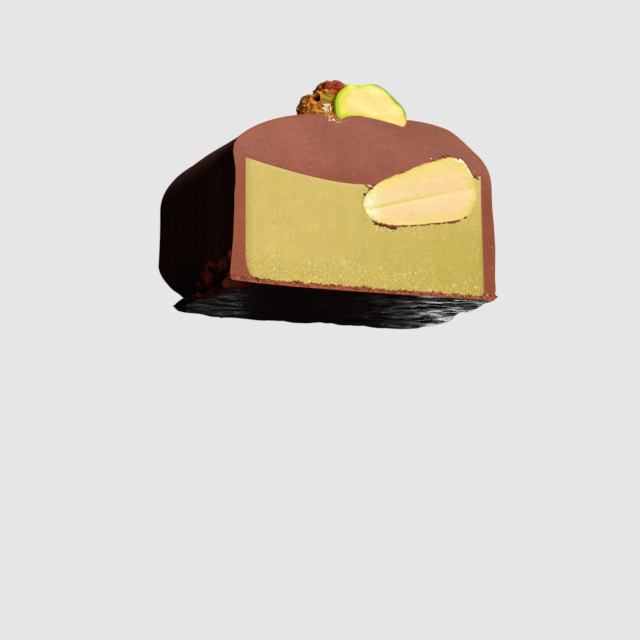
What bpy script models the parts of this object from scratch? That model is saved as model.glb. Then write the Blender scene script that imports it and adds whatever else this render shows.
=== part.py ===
"""One half of a filled milk chocolate praline, cut across, resting on its flat base.

The cut face looks along -Y. The chocolate shell is one solid with its base and its thick domed cap. The pistachio
filling runs through it. A pistachio kernel, halved by the cut, crosses from the filling into the cap. A kernel slice
and a roasted kernel piece sit on top.

Shapes are worked out in millimetres: x from the lower left corner of the cut face, y into the praline, z up from
the base. centre_on_footprint puts the origin under the middle of the praline, and build_object turns them to metres.
"""

import math
import random

import bmesh
import bpy
from mathutils import Vector, noise

METRES = 0.001
GAP = 0.3  # room between a piece and the pocket it sits in

# Outside of the praline
BASE_WIDTH = 35.3
WALL_DEPTH = 27.3  # from the cut face to the far wall
CAP_LEFT, CAP_RIGHT = 0.2, 34.5  # the two walls where the dome starts
SHOULDER_Z = 14.5
TOP_Z = 22.2
DOME_POWER = 2.5  # roundness of the dome: 2 is an ellipse
DOME_FALL = 0.0036  # how fast the dome sinks towards the far wall, per mm
RIGHT_SHOULDER_DROP = 0.85  # the right shoulder is lower and falls away more steeply
RIGHT_SHOULDER_NEAR, RIGHT_SHOULDER_FAR = 2.2, 5.0  # from the right wall
WAIST_DEPTH, WAIST_Z, WAIST_SPAN = 0.3, 12.3, 2.6  # shallow hollow round the wall under the cap
CORNER_RADIUS = 3.7

# Foot: the far end draws in over a thin ragged lip
FOOT_CORNER_RADIUS = 7.5
FOOT_BACK_INSET = 2.4
NOTCH_DEPTH = 1.2
NOTCH_TOP_Z, NOTCH_Z, LIP_Z = 6.2, 1.45, 0.55
NOTCH_POWER = 1.6  # how roundly the wall turns in under the notch's top
LIP_ROUGHNESS = 0.45
UNDERCUT_START, UNDERCUT_END = 7.0, 24.0  # depths between which the undercut grows
BASE_EDGE_INSET = 0.9

# Filling
FILLING_LEFT, FILLING_RIGHT = 1.95, 33.45
FILLING_WALL = 1.6  # chocolate behind the filling
FILLING_CORNER = 2.4
FILLING_BASE_LEFT, FILLING_BASE_SLOPE = 1.05, -0.019
MENISCUS_Z, MENISCUS_RISE, MENISCUS_REACH = 13.55, 2.4, 14.0
MENISCUS_POWER = 1.5
MENISCUS_FAR_SHARE = 0.5  # how much of the climb is left at the far wall
FILLING_DROP = 0.7  # share of the cap's drop that the filling's top follows

# Kernel halved by the cut
KERNEL_X, KERNEL_Z = 25.1, 12.75
KERNEL_TILT = math.radians(13.0)
KERNEL_HALF_LENGTH = 7.65
KERNEL_DEPTH = 4.0

# Kernel slice on top: front outline, anticlockwise from its lower left corner
SLICE_OUTLINE = (
    (15.3, 21.95),
    (18.4, 21.95),
    (21.2, 21.35),
    (22.8, 20.95),
    (23.2, 21.9),
    (22.6, 23.5),
    (21.3, 24.9),
    (19.9, 25.9),
    (18.7, 26.25),
    (16.4, 25.75),
    (15.4, 25.5),
    (14.9, 23.6),
)
SLICE_DEPTH = 4.4
SLICE_MIDDLE = (18.8, 23.0)  # the point that its outline shrinks towards, down to its flat underside

# Roasted kernel piece on top
ROAST_CENTRE = (13.0, 3.3, 24.0)
ROAST_SIZE = (2.6, 2.75, 2.9)
ROAST_LEAN = 0.55
ROAST_BREAK, ROAST_BREAK_REACH = (-0.72, -0.15, 0.68), 0.72  # its largest broken side, up to the left
ROAST_FACETS, ROAST_SEED = 10, 5  # smaller broken sides
ROAST_RELIEF = 0.3

# Steps of the loft
SIDE_STEPS, CORNER_STEPS, BACK_STEPS = 12, 7, 12
DOME_STEPS = 10
DOME_LAST_ANGLE = math.radians(84)  # where strips close the dome's ridge


def smooth_step(low, high, value):
    t = min(max((value - low) / (high - low), 0.0), 1.0)
    return t * t * (3 - 2 * t)


def mix(low, high, t):
    return low + (high - low) * t


def centre_on_footprint(point):
    return Vector((point[0] - BASE_WIDTH / 2, point[1] - WALL_DEPTH / 2, point[2]))


# ---------------------------------------------------------------- mesh helpers


def make_material(name, colour, roughness):
    material = bpy.data.materials.new(name)
    material.use_nodes = True
    shader = material.node_tree.nodes["Principled BSDF"]
    shader.inputs["Base Color"].default_value = (*colour, 1.0)
    shader.inputs["Roughness"].default_value = roughness
    shader.inputs["Metallic"].default_value = 0.0
    return material


def build_object(name, mesh, material):
    """Turns a bmesh in millimetres into an object in metres, faces out and shaded smooth."""
    for vert in mesh.verts:
        vert.co = centre_on_footprint(vert.co) * METRES
    bmesh.ops.recalc_face_normals(mesh, faces=mesh.faces)
    data = bpy.data.meshes.new(name)
    mesh.to_mesh(data)
    mesh.free()
    data.shade_smooth()
    data.set_sharp_from_angle(angle=math.radians(40))
    if material:
        data.materials.append(material)
    thing = bpy.data.objects.new(name, data)
    bpy.context.scene.collection.objects.link(thing)
    return thing


def close_ring(mesh, ring):
    """Fills a ring with strips from its left side to its right side, and one face along its far end."""
    last = len(ring) - 1
    far = SIDE_STEPS + CORNER_STEPS - 1
    for i in range(far):
        mesh.faces.new((ring[i], ring[i + 1], ring[last - i - 1], ring[last - i]))
    mesh.faces.new(ring[far : last - far + 1])


def loft(rings):
    """Skins a stack of open rings, and closes the ends and the flat side between first and last points."""
    mesh = bmesh.new()
    rows = [[mesh.verts.new(point) for point in ring] for ring in rings]
    for lower, upper in zip(rows, rows[1:]):
        for i in range(len(lower) - 1):
            mesh.faces.new((lower[i], lower[i + 1], upper[i + 1], upper[i]))
    mesh.faces.new([row[0] for row in rows] + [row[-1] for row in reversed(rows)])
    close_ring(mesh, rows[0])
    close_ring(mesh, rows[-1])
    return mesh


def plan_outline(left, right, front, back, radius):
    """Points up the left side, round the far end and down the right side of a plan with two round corners."""
    points = [(left, mix(front, back - radius, i / SIDE_STEPS)) for i in range(SIDE_STEPS)]
    for i in range(CORNER_STEPS):
        turn = math.pi / 2 * i / CORNER_STEPS
        points.append((left + radius * (1 - math.cos(turn)), back - radius * (1 - math.sin(turn))))
    points += [(mix(left + radius, right - radius, i / BACK_STEPS), back) for i in range(BACK_STEPS)]
    for i in range(CORNER_STEPS):
        turn = math.pi / 2 * i / CORNER_STEPS
        points.append((right - radius * (1 - math.sin(turn)), back - radius * (1 - math.cos(turn))))
    points += [(right, mix(back - radius, front, i / SIDE_STEPS)) for i in range(SIDE_STEPS + 1)]
    return points


def subtract(thing, cutter):
    """Cuts the cutter out of the thing and removes the cutter."""
    modifier = thing.modifiers.new(cutter.name, "BOOLEAN")
    modifier.operation = "DIFFERENCE"
    modifier.solver = "EXACT"
    modifier.object = cutter
    bpy.context.view_layer.update()
    cut_mesh = bpy.data.meshes.new_from_object(thing.evaluated_get(bpy.context.evaluated_depsgraph_get()))
    thing.modifiers.clear()
    thing.data = cut_mesh
    cut_mesh.name = thing.name
    bpy.data.objects.remove(cutter)


# ---------------------------------------------------------------- outside of the praline


def wall_left(z):
    waist = WAIST_DEPTH * math.exp(-(((z - WAIST_Z) / WAIST_SPAN) ** 2))
    return mix(0.0, CAP_LEFT, smooth_step(1.0, SHOULDER_Z, z)) + waist


def wall_right(z):
    return mix(BASE_WIDTH - 0.15, CAP_RIGHT, smooth_step(1.0, SHOULDER_Z, z))


def undercut(z):
    """0 on the upright wall, 1 at the deepest of the notch over the foot."""
    share = (NOTCH_TOP_Z - z) / (NOTCH_TOP_Z - NOTCH_Z)
    return min(max(share, 0.0), 1.0) ** NOTCH_POWER


def dome_fall(y):
    return DOME_FALL * y * y


def cap_drop(x, y):
    """How far the cap lies below its plain outline: towards the far wall, and at the right shoulder."""
    shoulder = 1 - smooth_step(RIGHT_SHOULDER_NEAR, RIGHT_SHOULDER_FAR, CAP_RIGHT - x)
    return dome_fall(y) + RIGHT_SHOULDER_DROP * shoulder


def ragged(point):
    """Uneven push of the foot's lip, from -1 to 1."""
    return noise.noise(Vector((point[0] * 0.31, point[1] * 0.31, 7.3))) * 1.6


def pushed_in(x, y, amount):
    """Moves a point of the outline towards the middle of the praline, by more the deeper it lies."""
    middle = Vector((BASE_WIDTH / 2, WALL_DEPTH * 0.3))
    inward = (middle - Vector((x, y))).normalized()
    growing = smooth_step(UNDERCUT_START, UNDERCUT_END, y)
    return x + inward.x * amount * growing, y + inward.y * amount * growing


def wall_ring(z, inset=0.0):
    """The praline's outline at a height on the wall. inset moves it inwards all round."""
    deep = undercut(z)
    radius = mix(CORNER_RADIUS, FOOT_CORNER_RADIUS, deep) - inset
    back = WALL_DEPTH - FOOT_BACK_INSET * deep - inset
    notch = NOTCH_DEPTH * deep * smooth_step(LIP_Z, NOTCH_Z, z)
    ring = []
    for x, y in plan_outline(wall_left(z) + inset, wall_right(z) - inset, 0.0, back, radius):
        x, y = pushed_in(x, y, notch)
        ring.append((x, y, z - cap_drop(x, y) * smooth_step(NOTCH_TOP_Z, SHOULDER_Z, z)))
    return ring


def lip_ring(z, inset):
    """The foot's thin lip, ragged where the far end draws in."""
    ring = []
    for x, y, height in wall_ring(z, inset):
        x, y = pushed_in(x, y, LIP_ROUGHNESS * ragged((x, y)))
        ring.append((x, y, height))
    return ring


def dome_ring(angle):
    """One outline of the dome. The angle runs from 0 at the shoulder to a quarter turn at the ridge."""
    half_width = (CAP_RIGHT - CAP_LEFT) / 2
    inset = half_width * (1 - math.cos(angle) ** (2 / DOME_POWER))
    height = SHOULDER_Z + (TOP_Z - SHOULDER_Z) * math.sin(angle) ** (2 / DOME_POWER)
    radius = min(CORNER_RADIUS + inset / 2, 0.8 * (half_width - inset))
    left, right = CAP_LEFT + inset, CAP_RIGHT - inset
    outline = plan_outline(left, right, 0.0, WALL_DEPTH - inset, radius)
    return [(x, y, height - cap_drop(x, y)) for x, y in outline]


def praline_outside():
    rings = [lip_ring(0.0, BASE_EDGE_INSET), lip_ring(0.2, 0.3), lip_ring(LIP_Z, 0.0), lip_ring(0.9, 0.1)]
    heights = [NOTCH_Z, 2.0, 2.7, 3.5, 4.5, NOTCH_TOP_Z, 7.8, 9.4, 10.9, 12.3, 13.5, SHOULDER_Z]
    rings += [wall_ring(z) for z in heights]
    rings += [dome_ring(DOME_LAST_ANGLE * (i / DOME_STEPS) ** 1.25) for i in range(1, DOME_STEPS + 1)]
    return loft(rings)


# ---------------------------------------------------------------- filling


def filling_outline(z, inset, front):
    deep = undercut(z)
    left, right = FILLING_LEFT + inset, FILLING_RIGHT - inset
    back = WALL_DEPTH - FILLING_WALL - (FOOT_BACK_INSET + NOTCH_DEPTH) * deep - inset
    radius = mix(FILLING_CORNER, FOOT_CORNER_RADIUS - FILLING_WALL, deep)
    points = plan_outline(left, right, front, back, max(radius - inset * 0.3, 0.4))
    return [pushed_in(x, y, NOTCH_DEPTH * deep) for x, y in points]


def filling_ring(z, inset, front, grow):
    """An outline of the filling's sides. grow moves it outwards, for the pocket that holds it."""
    ring = []
    for x, y in filling_outline(z, inset - grow, front):
        height = z + FILLING_BASE_SLOPE * x * (1 - smooth_step(1.0, 4.0, z))
        ring.append((x, y, height))
    return ring


def filling_top_ring(inset, front, grow):
    """An outline of the filling's hollow top, which climbs where it meets the chocolate walls."""
    ring = []
    climb = MENISCUS_RISE * max(1 - inset / MENISCUS_REACH, 0.0) ** MENISCUS_POWER
    for x, y in filling_outline(MENISCUS_Z, inset - grow, front):
        depth = max(y, 0.0)
        height = MENISCUS_Z + grow + climb * mix(1.0, MENISCUS_FAR_SHARE, depth / WALL_DEPTH)
        ring.append((x, y, height - FILLING_DROP * cap_drop(x, depth)))
    return ring


def filling_body(front, grow):
    floor = FILLING_BASE_LEFT - grow
    rings = [filling_ring(floor, 1.3, front, grow)]
    rings += [filling_ring(floor + 0.35, 0.55, front, grow), filling_ring(floor + 1.2, 0.12, front, grow)]
    rings += [filling_ring(z, 0.0, front, grow) for z in (3.2, 4.6, NOTCH_TOP_Z, 8.5, 11.0)]
    rings += [filling_top_ring(inset, front, grow) for inset in (0.0, 0.9, 2.2, 4.2, 6.8, 9.8, 12.6, 14.2)]
    return loft(rings)


# ---------------------------------------------------------------- kernels


def kernel_widths(along):
    """Half widths of the kernel above and below its seam, at a distance from its middle."""
    share = abs(along) / KERNEL_HALF_LENGTH
    hump = 0.25 * math.exp(-(((along - 2.2) / 2.0) ** 2))
    above = (3.35 + 0.15 * along + hump) * math.sqrt(1 - share**4)
    below = (3.75 + 0.05 * along) * math.sqrt(1 - share**3.2)
    return above, below


def kernel_body(grow, front):
    """Half of a pistachio kernel, split along its length. Its flat side is the cut."""
    stations, turns = 18, 11
    mesh = bmesh.new()
    rows = []
    for i in range(stations):
        angle = math.pi * (0.035 + 0.93 * i / (stations - 1))
        along = -KERNEL_HALF_LENGTH * math.cos(angle)
        above, below = kernel_widths(along)
        depth = KERNEL_DEPTH * math.sqrt(1 - (abs(along) / KERNEL_HALF_LENGTH) ** 3) + grow
        along *= 1 + grow / KERNEL_HALF_LENGTH
        row = []
        for j in range(turns):
            turn = math.pi * j / (turns - 1)
            across = (above + grow if j < turns / 2 else below + grow) * math.cos(turn)
            x = KERNEL_X + along * math.cos(KERNEL_TILT) - across * math.sin(KERNEL_TILT)
            z = KERNEL_Z + along * math.sin(KERNEL_TILT) + across * math.cos(KERNEL_TILT)
            y = depth * math.sin(turn) if 0 < j < turns - 1 else front
            row.append(mesh.verts.new((x, y, z)))
        rows.append(row)
    for near, far in zip(rows, rows[1:]):
        for j in range(turns - 1):
            mesh.faces.new((near[j], near[j + 1], far[j + 1], far[j]))
    mesh.faces.new([row[0] for row in rows] + [row[-1] for row in reversed(rows)])
    mesh.faces.new(rows[0])
    mesh.faces.new(rows[-1])
    return mesh


def smooth_loop(points, steps):
    """A closed curve through the points, with the given number of steps between each two."""
    count = len(points)
    curve = []
    for i in range(count):
        before, start, end, after = (Vector(points[(i + k) % count]) for k in (-1, 0, 1, 2))
        for j in range(steps):
            t = j / steps
            bend = 2 * start + (end - before) * t
            bend += (2 * before - 5 * start + 4 * end - after) * t**2
            bend += (3 * start - before - 3 * end + after) * t**3
            curve.append(bend / 2)
    return curve


def slice_body(grow, front):
    """A kernel piece whose front outline shrinks as it goes back, except where it lies on the chocolate."""
    middle = Vector(SLICE_MIDDLE)
    outline = smooth_loop(SLICE_OUTLINE, 3)
    mesh = bmesh.new()
    rows = []
    depth_steps = 7
    for i in range(depth_steps):
        share = i / (depth_steps - 1) * 0.96
        shrink = (1 - share**2.4) ** 0.5
        depth = share * SLICE_DEPTH if i else front
        if i == depth_steps - 1:
            depth += grow
        row = []
        for point in outline:
            outward = point - middle
            outward = outward + outward.normalized() * grow
            upwards = shrink if outward.y > 0 else 1.0
            place = middle + Vector((outward.x * mix(shrink, 1.0, 0.25), outward.y * upwards))
            row.append(mesh.verts.new((place.x, depth, place.y)))
        rows.append(row)
    for near, far in zip(rows, rows[1:]):
        for j in range(len(outline)):
            k = (j + 1) % len(outline)
            mesh.faces.new((near[j], near[k], far[k], far[j]))
    mesh.faces.new(rows[0])
    mesh.faces.new(rows[-1])
    return mesh


def broken_sides():
    """Directions of the roasted piece's flat broken sides, each with its distance from the middle."""
    draw = random.Random(ROAST_SEED)
    sides = [(Vector(ROAST_BREAK), ROAST_BREAK_REACH)]
    for _ in range(ROAST_FACETS):
        facing = Vector((draw.gauss(0, 1), draw.gauss(0, 1), draw.gauss(0, 1))).normalized()
        sides.append((facing, draw.uniform(0.74, 0.96)))
    return sides


def roast_relief(direction):
    """Crags and folds of the roasted piece's skin, in millimetres."""
    folds = noise.noise(direction * 1.7 + Vector((4.1, 0.3, 2.2)))
    crags = noise.noise(direction * 3.6 + Vector((1.0, 8.2, 5.5)))
    return ROAST_RELIEF * (1.2 * folds + 1.3 * abs(crags) * 2 - 0.5)


def roast_body(subdivisions, grow):
    """A broken, roasted kernel piece that leans to the right."""
    sides = broken_sides()
    mesh = bmesh.new()
    bmesh.ops.create_icosphere(mesh, subdivisions=subdivisions, radius=1.0)
    for vert in mesh.verts:
        direction = vert.co.normalized()
        reach = min([1.0] + [far / max(direction.dot(facing), 0.01) for facing, far in sides])
        place = direction * reach * Vector(ROAST_SIZE) + direction * (roast_relief(direction) + grow)
        place.x += ROAST_LEAN * place.z
        vert.co = place + Vector(ROAST_CENTRE)
    return mesh


# ---------------------------------------------------------------- the praline


def main():
    for old in list(bpy.data.objects):
        bpy.data.objects.remove(old)

    milk_chocolate = make_material("milk_chocolate", (0.27, 0.085, 0.052), 0.42)
    pistachio_cream = make_material("pistachio_cream", (0.62, 0.48, 0.13), 0.6)
    raw_kernel = make_material("raw_kernel", (0.88, 0.68, 0.32), 0.5)
    green_kernel = make_material("green_kernel", (0.82, 0.78, 0.2), 0.5)
    roasted_kernel = make_material("roasted_kernel", (0.24, 0.09, 0.03), 0.7)

    past_the_cut = -3.0  # cutters start in front of the cut face

    shell = build_object("chocolate_shell", praline_outside(), milk_chocolate)
    subtract(shell, build_object("filling_pocket", filling_body(past_the_cut, GAP / 2), None))
    subtract(shell, build_object("kernel_pocket", kernel_body(GAP / 2, past_the_cut), None))
    subtract(shell, build_object("slice_seat", slice_body(GAP, past_the_cut), None))
    subtract(shell, build_object("roast_seat", roast_body(4, GAP), None))

    filling = build_object("pistachio_filling", filling_body(0.0, -GAP / 2), pistachio_cream)
    subtract(filling, build_object("kernel_pocket", kernel_body(GAP / 2, past_the_cut), None))

    build_object("cut_kernel", kernel_body(-GAP / 2, 0.0), raw_kernel)
    build_object("topping_kernel", slice_body(0.0, 0.0), green_kernel)

    roast = build_object("topping_roasted_kernel", roast_body(4, 0.0), roasted_kernel)
    subtract(roast, build_object("slice_room", slice_body(GAP, past_the_cut), None))


main()
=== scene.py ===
"""Looks of one half of a filled milk chocolate praline: its cut face, its kernels, its crumbs and the stage.

Shapes are worked out in millimetres: x from the lower left corner of the cut face, y into the praline, z up
from the base. Surface.build turns them into the frame's metres, with the origin under the praline's middle.
"""

import math
import random

import bmesh
import bpy
import numpy as np
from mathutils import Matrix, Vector, geometry, noise


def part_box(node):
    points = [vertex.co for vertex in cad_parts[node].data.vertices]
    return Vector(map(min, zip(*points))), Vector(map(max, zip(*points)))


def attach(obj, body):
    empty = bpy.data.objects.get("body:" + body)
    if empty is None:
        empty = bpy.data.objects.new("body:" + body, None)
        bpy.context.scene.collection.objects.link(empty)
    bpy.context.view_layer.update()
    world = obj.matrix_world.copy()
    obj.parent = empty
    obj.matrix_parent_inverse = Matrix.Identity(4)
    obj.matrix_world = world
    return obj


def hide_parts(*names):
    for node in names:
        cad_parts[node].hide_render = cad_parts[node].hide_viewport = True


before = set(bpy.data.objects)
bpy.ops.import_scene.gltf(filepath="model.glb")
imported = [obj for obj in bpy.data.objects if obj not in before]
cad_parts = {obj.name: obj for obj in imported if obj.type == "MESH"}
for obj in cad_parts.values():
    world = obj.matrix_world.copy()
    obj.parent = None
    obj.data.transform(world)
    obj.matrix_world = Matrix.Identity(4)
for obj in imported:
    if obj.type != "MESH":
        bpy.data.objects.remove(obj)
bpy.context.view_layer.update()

bl_info = {
    "name": "Pistachio praline",
    "version": (1, 0, 0),
    "blender": (4, 5, 0),
    "location": "3D View > Sidebar > Praline",
    "description": "Builds a halved chocolate praline with pistachio filling, kernels and crumbs",
    "category": "Add Mesh",
}

SHELL_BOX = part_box("chocolate_shell")
MM = 1000.0
BODY = "root"

# Outside of the praline, in millimetres. A pair named FADE is where something begins and ends to fade.
BASE_WIDTH = 35.3
WALL_DEPTH = (SHELL_BOX[1].y - SHELL_BOX[0].y) * MM
WALL_LEFT, WALL_RIGHT = 0.03, BASE_WIDTH - 0.15
WALL_LEAN_Z = 1.0  # the walls lean in from here to the shoulder
CAP_LEFT, CAP_RIGHT = 0.32, 34.5
DOME_POWER, DOME_FALL = 2.56, 0.0036
DOME_RINGS, DOME_LAST_ANGLE, DOME_SPREAD = 70, math.radians(88.5), 1.15
DOME_TOP_GAP = 0.003  # how far the dome's last strip lies below its ridge
OUTLINE_STEPS = (70, 18, 60)  # steps along a side, round a far corner and along the far end
WALL_RING_STEP = 0.26
RIGHT_SHOULDER_DROP, RIGHT_SHOULDER_FADE = 0.9, (2.0, 5.9)
RIGHT_LIFT, RIGHT_LIFT_X, RIGHT_LIFT_SPAN = 0.2, 27.0, 4.0
# How far the left shoulder drops: distance behind the cut, and drop
LEFT_DROP = (
    (0.0, 0.0), (2.5, 0.35), (8.0, 0.2), (11.0, 0.1), (18.0, -0.1), (20.0, -0.2), (22.3, -0.45), (27.0, -0.6),
)
LEFT_DROP_FADE = (3.0, 12.0)
# How far the cut's left and right edges stand off the plain walls, towards larger x: height and distance
LEFT_EDGE = (
    (0.5, -0.03), (1.5, -0.08), (2.7, 0.04), (4.5, 0.18), (6.0, 0.25), (8.0, 0.26), (9.5, 0.29), (11.3, 0.24),
    (12.6, 0.37), (14.2, 0.38), (15.0, 0.29), (15.8, 0.1), (16.7, -0.22), (17.6, -0.46), (18.7, -0.47),
    (19.6, -0.28), (20.6, -0.08), (22.0, 0.0),
)
RIGHT_EDGE = (
    (1.0, 0.1), (3.0, 0.03), (5.0, 0.17), (6.8, 0.31), (9.8, 0.34), (11.5, 0.26), (14.4, 0.2), (22.0, 0.25),
)
EDGE_DEPTH_FADE, EDGE_LEFT_FADE, EDGE_RIGHT_FADE = (2.0, 10.0), (3.0, 9.0), (28.0, 33.0)
# How far the foot's right side stands out: distance behind the cut, and distance
FOOT_RIGHT = (
    (2.0, 0.0), (4.7, 0.35), (8.5, 0.4), (10.5, 0.05), (13.5, 0.05), (16.0, 0.75), (18.5, 1.2), (24.0, 0.6),
)
FOOT_RIGHT_FADE = (24.0, 33.0)
FOOT_Z_FADE = (1.0, 2.4)
FOOT_CORNERS = (7.5, 4.5)  # radii on the left and on the right
FOOT_BACK_INSET = 2.4
LIFT_LEFT, LIFT_RIGHT, LIFT_REACH = 0.68, 0.18, 6.0  # how far the cut's lower edge stands above the base
LIFT_DEPTH, LIFT_HEIGHT = 2.6, 1.2
BURR, BURR_Z, BURR_SPAN, BURR_DEPTH = 0.3, 0.55, 0.2, 0.7
NOTCH_DEPTH, NOTCH_POWER = 1.2, 1.6
NOTCH_TOP_Z, NOTCH_Z, LIP_Z = 6.2, 1.45, 0.55
# The foot's lip: heights, and how far it draws in at each
LIP_RINGS = ((0.0, 0.9), (0.08, 0.55), (0.22, 0.28), (0.38, 0.08), (LIP_Z, 0.0), (0.75, 0.2), (1.0, 0.45))
LIP_ROUGHNESS = 0.45
LIP_TIP, LIP_TIP_Y, LIP_TIP_SPAN, LIP_TIP_X = 0.75, 20.6, 1.1, 6.0  # the left corner's sharp tip
LIP_THINNER, LIP_THINNER_SPAN, LIP_THINNER_X = 2.2, 4.0, 8.0  # how much further its underside draws in
UNDERCUT_FADE = (7.0, 24.0)
OUTLINE_MIDDLE = (BASE_WIDTH / 2, WALL_DEPTH * 0.3)
NEAR_CUT_FADE = (0.0, 3.0)

# Filling
FILLING_LEFT, FILLING_RIGHT, FILLING_LEAN = 2.0, 33.67, 0.033
FILLING_WALL, FILLING_CORNER = 1.6, 2.4
FILLING_BASE_LEFT, FILLING_BASE_SLOPE = 1.05, -0.019
FILLING_CURVE_RISE, FILLING_CURVE_INSET, FILLING_CURVE_POWER = 1.2, 1.3, 1.6  # the rounding along its base
FILLING_ROUND, FILLING_ROUND_HEIGHT, FILLING_ROUND_FADE = 0.75, 3.2, (4.0, 9.0)  # its lower left corner
FILLING_SQUARE, FILLING_SQUARE_FADE, FILLING_SQUARE_Z_FADE = 0.6, (30.0, 32.0), (1.0, 4.0)  # its lower right
FILLING_SIDE_TOP = 12.0
FILLING_STEPS = (14, 6, 14)
FILLING_RING_STEP = 0.24
MENISCUS_Z, MENISCUS_RISE, MENISCUS_REACH = 13.55, 2.4, 14.0
MENISCUS_POWER, MENISCUS_FAR_SHARE, MENISCUS_LAST_INSET = 1.5, 0.5, 15.0
FILLING_DROP = 0.7
FILLING_RIGHT_RISE, FILLING_RIGHT_RISE_FADE = 0.3, (29.0, 33.4)
BASE_CLIMB, BASE_CLIMB_FADE = 0.2, (20.0, 27.0)

# Kernel halved by the cut. A pair of squareness belongs to its upper and lower half.
KERNEL_X, KERNEL_Z = 25.0, 12.73
KERNEL_TILT = math.radians(13.0)
KERNEL_DEPTH = 4.0
KERNEL_ABOVE, KERNEL_ABOVE_SLOPE = 3.35, 0.15
KERNEL_BELOW, KERNEL_BELOW_SLOPE = 3.7, 0.09
KERNEL_SQUARE_RIGHT, KERNEL_SQUARE_LEFT = (6.0, 4.3), (4.0, 4.5)
KERNEL_HUMP, KERNEL_HUMP_AT, KERNEL_HUMP_SPAN = 0.12, 1.2, 2.0
KERNEL_SEAM, KERNEL_SEAM_SLOPE = -0.48, 0.022  # across, at the kernel's middle, and its climb along it
KERNEL_STATIONS, KERNEL_TURNS = 90, 26
PROUD = 0.03  # how far the kernels' cut faces stand in front of the chocolate's, so that their edges show

# Kernel slice on top: front outline, anticlockwise from its lower left corner
SLICE_OUTLINE = (
    (14.75, 21.5), (15.5, 21.85), (16.8, 22.1), (18.4, 21.95), (20.0, 21.7), (21.6, 21.4), (22.9, 21.15),
    (23.32, 22.05), (22.95, 23.4), (21.8, 24.5), (20.8, 25.4), (20.0, 25.9), (19.0, 26.25), (17.8, 26.05),
    (16.6, 25.95), (15.7, 26.0), (15.0, 25.45), (14.3, 24.75), (13.95, 23.8), (14.0, 22.4), (14.25, 21.7),
)
SLICE_MIDDLE = (18.8, 23.0)
SLICE_RINGS = 26
SLICE_BEVEL, SLICE_BEVEL_WIDTH = 0.15, 0.7  # rounding of the slice's left side
SLICE_LEFT_FADE = (14.7, 16.8)
SLICE_COVER_DEPTH = 3.0  # how deep the cut face gives way behind the slice

# Roasted kernel piece on top: front outline, anticlockwise from its lower left corner
ROAST_OUTLINE = (
    (10.7, 21.6), (13.0, 21.3), (15.2, 21.3), (15.7, 22.4), (15.9, 24.4), (16.4, 25.4), (16.1, 26.0),
    (15.6, 26.5), (15.2, 26.72), (14.3, 26.45), (13.5, 26.35), (12.95, 25.85), (12.65, 25.2), (11.9, 25.05),
    (11.15, 24.85), (10.75, 24.1), (10.3, 23.4), (10.35, 22.4),
)
ROAST_MIDDLE = (13.5, 23.7)
ROAST_Y, ROAST_HALF_DEPTH, ROAST_ROUNDNESS = 3.4, 2.6, 3.2
ROAST_RADIUS = 3.2  # its outline's mean radius, which spaces the rings
ROAST_FINE = 0.06
CAP_EDGE_X, CAP_EDGE_Z, CAP_EDGE_SLOPE = 13.0, 25.55, -0.05
HOLE_X, HOLE_Z, HOLE_RADIUS, HOLE_DEPTH = 11.85, 24.35, 0.48, 1.0
FACET_X, FACET_Z, FACET_HALF_WIDTH, FACET_HALF_HEIGHT = 13.35, 24.2, 1.15, 0.85
RIDGE, RIDGE_X, RIDGE_Z, RIDGE_SLANT, RIDGE_SPAN = 0.24, 12.3, 24.8, 0.15, 0.15
GROOVE_SPACING, GROOVE_DEPTH = 0.27, 0.045
FIBRE_TILT = math.radians(-35)
SCRATCH_TILT = math.radians(12)

# Bits of skin round the halved kernel: 1 above or -1 below, from and to along it, gap from its outline, and
# thickness
SKIN_RUNS = (
    (-1, -6.9, -3.9, 0.14, 0.23),
    (-1, -6.1, -4.1, 0.02, 0.2),
    (-1, -4.4, 4.6, 0.02, 0.12),
    (-1, 3.0, 4.7, 0.1, 0.14),
    (-1, 5.2, 5.8, 0.06, 0.13),
    (1, -7.45, -5.9, 0.0, 0.17),
    (1, -6.0, -4.8, 0.05, 0.12),
    (1, -2.4, -0.2, 0.0, 0.06),
    (1, 2.6, 3.6, 0.06, 0.09),
    (1, 3.6, 5.4, 0.14, 0.11),
    (1, 6.5, 7.1, 0.1, 0.09),
)
# Loose shreds of skin on the cut face: their two ends and thickness
SKIN_SHREDS = (
    ((17.7, 13.5), (18.6, 13.05), 0.15),
    ((18.3, 13.25), (18.9, 13.1), 0.12),
    ((28.0, 17.85), (28.6, 17.6), 0.13),
    ((32.2, 15.7), (33.0, 15.2), 0.17),
    ((32.1, 15.3), (32.5, 15.55), 0.1),
)
# Pale flecks on the cut face: middle, half width, half height, number and size
PALE_FLECKS = (
    (22.4, 8.15, 3.8, 0.25, 34, 0.09),
    (18.4, 9.3, 0.9, 0.4, 10, 0.09),
    (28.0, 8.9, 1.6, 0.2, 7, 0.07),
    (26.9, 17.35, 0.6, 0.1, 6, 0.08),
    (32.3, 15.8, 0.35, 0.5, 8, 0.06),
    (32.9, 15.1, 0.35, 0.4, 8, 0.06),
    (33.0, 13.0, 0.25, 1.6, 9, 0.06),
    (18.1, 13.4, 0.7, 0.25, 8, 0.09),
    (22.5, 15.1, 0.3, 0.2, 3, 0.08),
    (13.35, 21.5, 0.45, 0.3, 16, 0.12),
    (14.4, 21.15, 0.5, 0.15, 7, 0.09),
    (3.0, 13.9, 0.5, 0.9, 5, 0.05),
)
# Brown crumbs under the toppings, on the cut face: the same
BROWN_CRUMBS = (
    (12.9, 21.75, 0.5, 0.3, 18, 0.13),
    (13.7, 21.55, 0.4, 0.3, 14, 0.12),
    (14.9, 21.3, 0.6, 0.12, 10, 0.09),
)
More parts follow.
